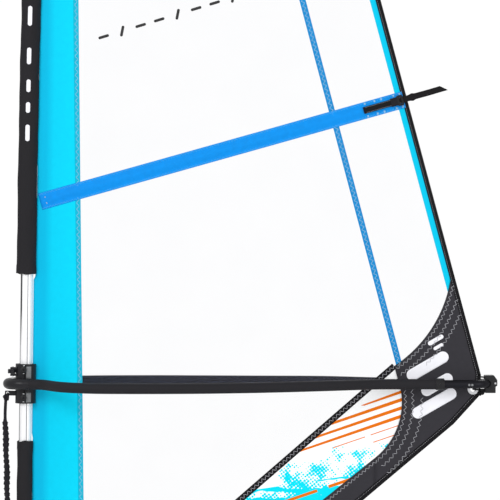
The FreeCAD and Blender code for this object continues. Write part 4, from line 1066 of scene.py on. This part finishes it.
def bars_of(node):
    """Centre lines ((x, z), (x, z)) of a node's two sloping bars, lower one first."""
    spots = spots_of(frame["nodes"][node].data)
    over = spots[:, 2] * math.cos(POCKET_SLOPE) - spots[:, 0] * math.sin(POCKET_SLOPE)
    along = spots @ ALONG_POCKET
    split = (over.min() + over.max()) / 2
    bars = []
    for group in (over < split, over >= split):
        mean = (over[group].min() + over[group].max()) / 2
        ends = []
        for run in (along[group].min(), along[group].max()):
            ends.append((run * math.cos(POCKET_SLOPE) - mean * math.sin(POCKET_SLOPE),
                         run * math.sin(POCKET_SLOPE) + mean * math.cos(POCKET_SLOPE)))
        bars.append(np.array(ends))
    return bars


def pocket_profile(half_width, height):
    """A batten pocket's section: stitched flat margins and a rounded bulge over the batten between them."""
    across = np.linspace(-1, 1, 25)
    bulge = np.cos(np.clip(np.abs(across) / 0.66, 0, 1) * math.pi) * 0.5 + 0.5
    top = 0.0011 + (height - 0.0011) * bulge ** 0.8
    top[[0, -1]] = 0.0004
    upper = np.stack([across * half_width, top], axis=1)
    lower = np.stack([across[[-1, 0]] * half_width, [0.0, 0.0]], axis=1)
    return np.concatenate([upper, lower])


def make_pockets():
    """Batten pockets, with zigzag seams along both margins and close bars of stitches at the leech end."""
    pockets = []
    seams = []
    tacks = []
    for start, end in bars_of("batten_pockets"):
        line = resampled(np.array([start, end]), 160)
        share = np.linspace(0, 1, 160)
        taper = np.clip(share / 0.02, 0.15, 1) * np.clip((1 - share) / 0.012, 0.2, 1)
        profile = np.broadcast_to(pocket_profile(0.0253, 0.0052), (160, 27, 2)).copy()
        ripple = 1 + 0.05 * np.sin(37 * share) * np.sin(11 * share)
        profile[:, 1:24, 1] = 0.0011 + (profile[:, 1:24, 1] - 0.0011) * (taper * ripple)[:, None]
        pockets.append(ribbon(line, profile, CLOTH_FACE - 0.0004))
        for side in (-1, 1):
            seams.append(zigzag(offset(line, side * 0.0215), 0.006, 0.0085, CLOTH_FACE - 0.0014, 0.0004))
        forward = (start - end) / np.linalg.norm(end - start)
        across = np.array([-math.sin(POCKET_SLOPE), math.cos(POCKET_SLOPE)])
        for back in (0.008, 0.027, 0.065, 0.086, 0.116):
            for side in (-1, 1):
                spot = end + forward * back + across * side * 0.0195
                bar = resampled(np.array([spot - across * 0.0030, spot + across * 0.0030]), 9)
                tacks.append(zigzag(bar, 0.0062, 0.0016, CLOTH_FACE - 0.0016, 0.0005))
    pocket = piece("batten_pockets_cloth", joined(pockets), FINISHES["blue_pocket"])
    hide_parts("batten_pockets")
    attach(pocket, "rig")
    rods = [ribbon(resampled(bar, 160), flat_profile(0.0105, 0.0024), CLOTH_FACE - 0.0012)
            for bar in bars_of("battens")]
    batten = piece("batten_rods", joined(rods), FINISHES["batten_rod"])
    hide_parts("battens")
    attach(batten, "rig")
    for name, parts, finish in (("pocket_thread", seams, BLUE_THREAD),
                                ("pocket_bartacks", tacks, PALE_THREAD)):
        thread = piece(name, joined(parts), finish, False)
        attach(thread, "rig")


KEEPER = (0.335, 0.435)


def make_straps():
    """Batten straps: flat webbing from the pocket, through its buckle and past the leech, tail free."""
    straps = []
    keepers = []
    threads_on_strap = []
    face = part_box("batten_straps")[0][1] + 0.0012
    for start, end in bars_of("batten_straps"):
        reach = np.linalg.norm(end - start)
        run = np.linspace(-0.009, reach + 0.024, 130)
        direction = (end - start) / reach
        share = run / run[-1]
        loose = np.clip((share - 0.62) / 0.38, 0, 1)
        across = np.array([-direction[1], direction[0]])
        hump = np.exp(-((run - reach * 0.70 + 0.016) / 0.006) ** 2)
        wave = -0.0004 * loose * np.sin(loose * 5.0)
        line = start + run[:, None] * direction + wave[:, None] * across
        path = np.stack([line[:, 0], face + 0.004 * np.sin(loose * 7) * loose, line[:, 1]], axis=1)
        half = np.where(share < 0.5, 0.0102, 0.0092) + 0.0024 * hump
        tip = np.clip((run - run[-1] + 0.020) / 0.020, 0, 1)
        side = np.broadcast_to([across[0], 0, across[1]], path.shape)
        up = np.broadcast_to([0.0, -1.0, 0.0], path.shape)
        base = flat_profile(1.0, 0.0016, 0.5)
        wide = base[None, :, 0] * half[:, None]
        wide = np.minimum(wide, half[:, None] * (1 - 1.85 * tip[:, None]))
        profile = np.stack([wide, np.broadcast_to(base[:, 1], (130, 18))], axis=-1)
        straps.append(outward(tube_parts(path, side, up, profile)))
        spots = np.linspace(reach * KEEPER[0], reach * KEEPER[1], 48)
        held = start + spots[:, None] * direction
        rib = np.abs(np.sin(np.linspace(0, 3 * math.pi, 48)))
        section = flat_profile(1.0, 1.0, 0.35)
        shape = np.stack([section[None, :, 0] * (0.0118 + 0.0012 * rib[:, None]),
                          section[None, :, 1] * (0.0040 + 0.0016 * rib[:, None])], axis=-1)
        path = np.stack([held[:, 0], np.full(48, face), held[:, 1]], axis=1)
        keepers.append(outward(tube_parts(path, side[:48], up[:48], shape)))
        for offset_across in (-0.0078, 0.0078):
            lane = line[4:58] + offset_across * across
            places = np.stack([lane[:, 0], np.full(len(lane), face - 0.0018), lane[:, 1]], axis=1)
            threads_on_strap.append(threads(places[0:-2:3], places[2::3], 0.0004))
    keeper = piece("batten_keepers", joined(keepers), FINISHES["black_rope"])
    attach(keeper, "rig")
    strap = piece("batten_webbing", joined(straps), FINISHES["black_webbing"])
    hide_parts("batten_straps")
    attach(strap, "rig")
    seam = piece("webbing_thread", joined(threads_on_strap), GREY_THREAD, False)
    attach(seam, "rig")


# ---------------------------------------------------------------- luff sleeves

MAST_JOINT = 1.800
MAST_BEND = 52.0
RAKE = math.asin(MAST_AXIS[0])


def mast_place(along, ahead, sideways):
    """Places near the mast: `along` its bent centre line, then ahead in its plane and sideways."""
    straight = np.minimum(along, MAST_JOINT)
    bend = (along - straight) / MAST_BEND
    aft = MAST_BEND * (1 - np.cos(bend))
    up = straight + MAST_BEND * np.sin(bend)
    x = up * math.sin(RAKE) + aft * math.cos(RAKE)
    z = up * math.cos(RAKE) - aft * math.sin(RAKE)
    tilt = RAKE + bend
    place = (x + ahead * np.cos(tilt), sideways, z - ahead * np.sin(tilt))
    return np.stack(np.broadcast_arrays(*place), axis=-1)


def sleeve_place(kind, turn, along, lift=0.0):
    """A point of a sleeve's outside: an oval round the mast, with long slanting wrinkles."""
    wide, deep, lead = (0.0285, 0.0240, -0.0023) if kind == "upper" else (0.0225, 0.0225, 0.0)
    fold = 0.0005 * np.sin(3 * turn + 21 * along) + 0.0004 * np.sin(5 * turn - 33 * along + 1.0)
    fold += 0.0003 * np.sin(2 * turn + 70 * along)
    grow = fold + 0.0005 + lift
    return mast_place(along, lead + (wide + grow) * np.cos(turn), (deep + grow) * np.sin(turn))


def make_sleeves():
    """The two black sleeves, each with a wavy hem where the mast shows between them."""
    for kind, node, hem_low, hem_high in (("lower", "luff_sleeve_lower", False, True),
                                          ("upper", "luff_sleeve_upper", True, False)):
        low, high = (v[2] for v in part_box(node))
        turn = np.linspace(0, 2 * math.pi, 72, endpoint=False)[None]
        rows = np.unique(np.concatenate([np.linspace(low, high, 260), low + np.linspace(0, 0.03, 12),
                                         high - np.linspace(0, 0.03, 12)]))[:, None]
        wave = 0.0022 * np.sin(2 * turn + 0.8) + 0.001 * np.sin(5 * turn)
        near_low = np.clip(1 - (rows - low) / 0.12, 0, 1)
        near_high = np.clip(1 - (high - rows) / 0.12, 0, 1)
        shift = wave * (near_low * hem_low - near_high * hem_high) + 0.0024 * (near_low - near_high)
        along = (rows + shift) / math.cos(RAKE)
        in_hem = (rows < low + 0.026) * hem_low + (rows > high - 0.026) * hem_high
        flare = 0.0007 * in_hem + 0.0008 * (near_low ** 6 * hem_low + near_high ** 6 * hem_high)
        outer = sleeve_place(kind, turn, along, flare)
        inner = sleeve_place(kind, turn, along, flare - 0.0014)
        sleeve = piece(node + "_cloth", double_wall(outer, inner), FINISHES["black_sleeve"])
        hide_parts(node)
        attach(sleeve, "rig")


# ---------------------------------------------------------------- plain marks


def lozenge(centre, half_length, half_width, degrees, face, thickness=0.0003):
    """A bar with round ends, lying on the sail: its half width follows a quarter circle at each end."""
    run = np.concatenate([-half_length + half_width * (1 - np.cos(np.linspace(0, math.pi / 2, 10))),
                          half_length - half_width * (1 - np.cos(np.linspace(math.pi / 2, 0, 10)))])
    over = np.clip(np.abs(run) - (half_length - half_width), 0, half_width) / half_width
    half = half_width * np.sqrt(np.maximum(1 - over ** 2, 0.0004))
    across = np.linspace(-1, 1, 9)
    x, y = run[:, None] + 0 * across[None], half[:, None] * across[None]
    angle = math.radians(degrees)
    grid = np.stack([centre[0] + x * math.cos(angle) - y * math.sin(angle),
                     centre[1] + x * math.sin(angle) + y * math.cos(angle)], axis=-1)
    return shell_between(in_sail(grid, face - thickness), in_sail(grid, face))


def make_marks():
    """Plain bars in place of any lettering: five at the clew, small ones on the film and the sleeve."""
    clew = np.array([CLEW[0], CLEW[2]])
    bars = [lozenge(clew + spot, half_length, half_width, 30, PATCH_FACE)
            for spot, half_length, half_width in (
        ((-0.136, 0.069), 0.070, 0.0175),
        ((-0.108, 0.013), 0.052, 0.0165),
        ((-0.116, -0.043), 0.074, 0.0175),
        ((-0.112, 0.147), 0.026, 0.0065),
        ((-0.104, 0.127), 0.016, 0.0050),
    )]
    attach(piece("clew_bars", joined(bars), WHITE_PRINT), "rig")
    slope, pitch, turned_by = 17, 0.058, 62
    direction = np.array([math.cos(math.radians(slope)), math.sin(math.radians(slope))])
    dashes = []
    for k in range(9):
        spot = np.array([0.250, 2.430]) + pitch * k * direction
        dashes.append(lozenge(spot, 0.0165, 0.0042, slope + (turned_by if k % 3 == 1 else 0), FILM_FACE))
    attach(piece("film_dashes", joined(dashes), BLACK_PRINT), "rig")
    rows = []
    for low, high in ((2.115, 2.165), (2.200, 2.232), (2.262, 2.300),
                      (2.345, 2.395), (2.460, 2.520), (2.560, 2.600)):
        turn = np.linspace(-math.pi / 2 - 0.22, -math.pi / 2 + 0.22, 9)[None]
        along = np.linspace(low, high, 24)[:, None]
        ends = np.minimum(along - low, high - along) / 0.006
        narrow = np.sqrt(np.clip(1 - (1 - np.clip(ends, 0, 1)) ** 2, 0.01, 1))
        turn = -math.pi / 2 + (turn + math.pi / 2) * narrow
        outside, inside = (sleeve_place("upper", turn, along, lift) for lift in (0.00025, -0.0002))
        rows.append(shell_between(outside, inside))
    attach(piece("sleeve_bars", joined(rows), WHITE_PRINT), "rig")


# ---------------------------------------------------------------- knobs and rivets


def domed(centre, radius, height, rise=0.35):
    """A round cap standing out to the near side: rings whose radius follows a quarter ellipse to its top."""
    over = np.linspace(0, math.pi / 2, 8)[1:]
    lift = np.concatenate([[0.0, height * (1 - rise)], height * (1 - rise) + height * rise * np.sin(over)])
    wide = np.concatenate([[radius, radius], radius * (1 - 0.75 * (1 - np.cos(over)))])
    turn = np.linspace(0, 2 * math.pi, 33)[:-1]
    rings = np.stack([
        centre[0] + wide[:, None] * np.cos(turn), np.broadcast_to(centre[1] - lift[:, None], (9, 32)),
        centre[2] + wide[:, None] * np.sin(turn)], axis=-1)
    faces = grid_faces(9, 32, wrap_columns=True).tolist()
    faces += [list(range(31, -1, -1)), [8 * 32 + k for k in range(32)]]
    return outward((rings.reshape(-1, 3), faces))


def make_knobs():
    """Round caps over the near jaw's hinge pins with their screws, and the rivets on the tail's near leg."""
    centre = np.array(joint("near_jaw_open")["pos_m"])
    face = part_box("clamp_jaw_near")[0][1]
    caps = []
    heads = []
    for low, high in ((-0.052, -0.030), (0.032, 0.054)):
        spot = np.array([centre[0], face + 0.003, centre[2] + (low + high) / 2])
        caps.append(domed(spot, 0.0092, 0.0052))
        heads.append(domed(spot - [0, 0.0050, 0], 0.0030, 0.0012))
    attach(piece("clamp_caps", joined(caps), FINISHES["black_plastic"]), "clamp")
    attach(piece("clamp_screws", joined(heads), FINISHES["boom_alloy"]), "clamp")
    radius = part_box("clamp_jaw_near")[1][0] - centre[0] - 0.0030
    plates = []
    for low, high in ((0.016, 0.052), (-0.055, -0.026)):
        ahead = np.linspace(0.0045, 0.0185, 16)[None]
        up = centre[2] + np.linspace(low, high, 8)[:, None]
        walls = []
        for lift in (0.0012, -0.0010):
            side = -np.sqrt((radius + lift) ** 2 - ahead ** 2)
            lean = MAST_AXIS[0] * up
            walls.append(np.stack(np.broadcast_arrays(ahead + lean, side, up), axis=-1))
        plates.append(shell_between(*walls))
    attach(piece("clamp_plates", joined(plates), FINISHES["sheave_plastic"]), "near_jaw")
    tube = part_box("tail_tube")
    leg = tube[0][1] + 0.0003
    rivets = [domed(np.array([x, leg, BOOM_LEVEL - 0.0015]), 0.0034, 0.0016) for x in (1.3410, 1.3500)]
    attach(piece("tail_rivets", joined(rivets), FINISHES["sheave_plastic"]), "tail")


# ---------------------------------------------------------------- the whole

make_camera()
make_uphaul()
make_eye_loop()
make_lines()
make_light()
make_floor()
make_panels()
make_clew_patch()
make_seams()
make_edge_tapes()
make_pockets()
make_straps()
make_sleeves()
make_marks()
make_knobs()

for subpart in frame["record"]["subparts"]:
    mesh = frame["nodes"][subpart["node"]].data
    mesh.materials.clear()
    mesh.materials.append(FINISHES[subpart["material_slot"]])

bpy.context.scene.view_settings.view_transform = "Standard"
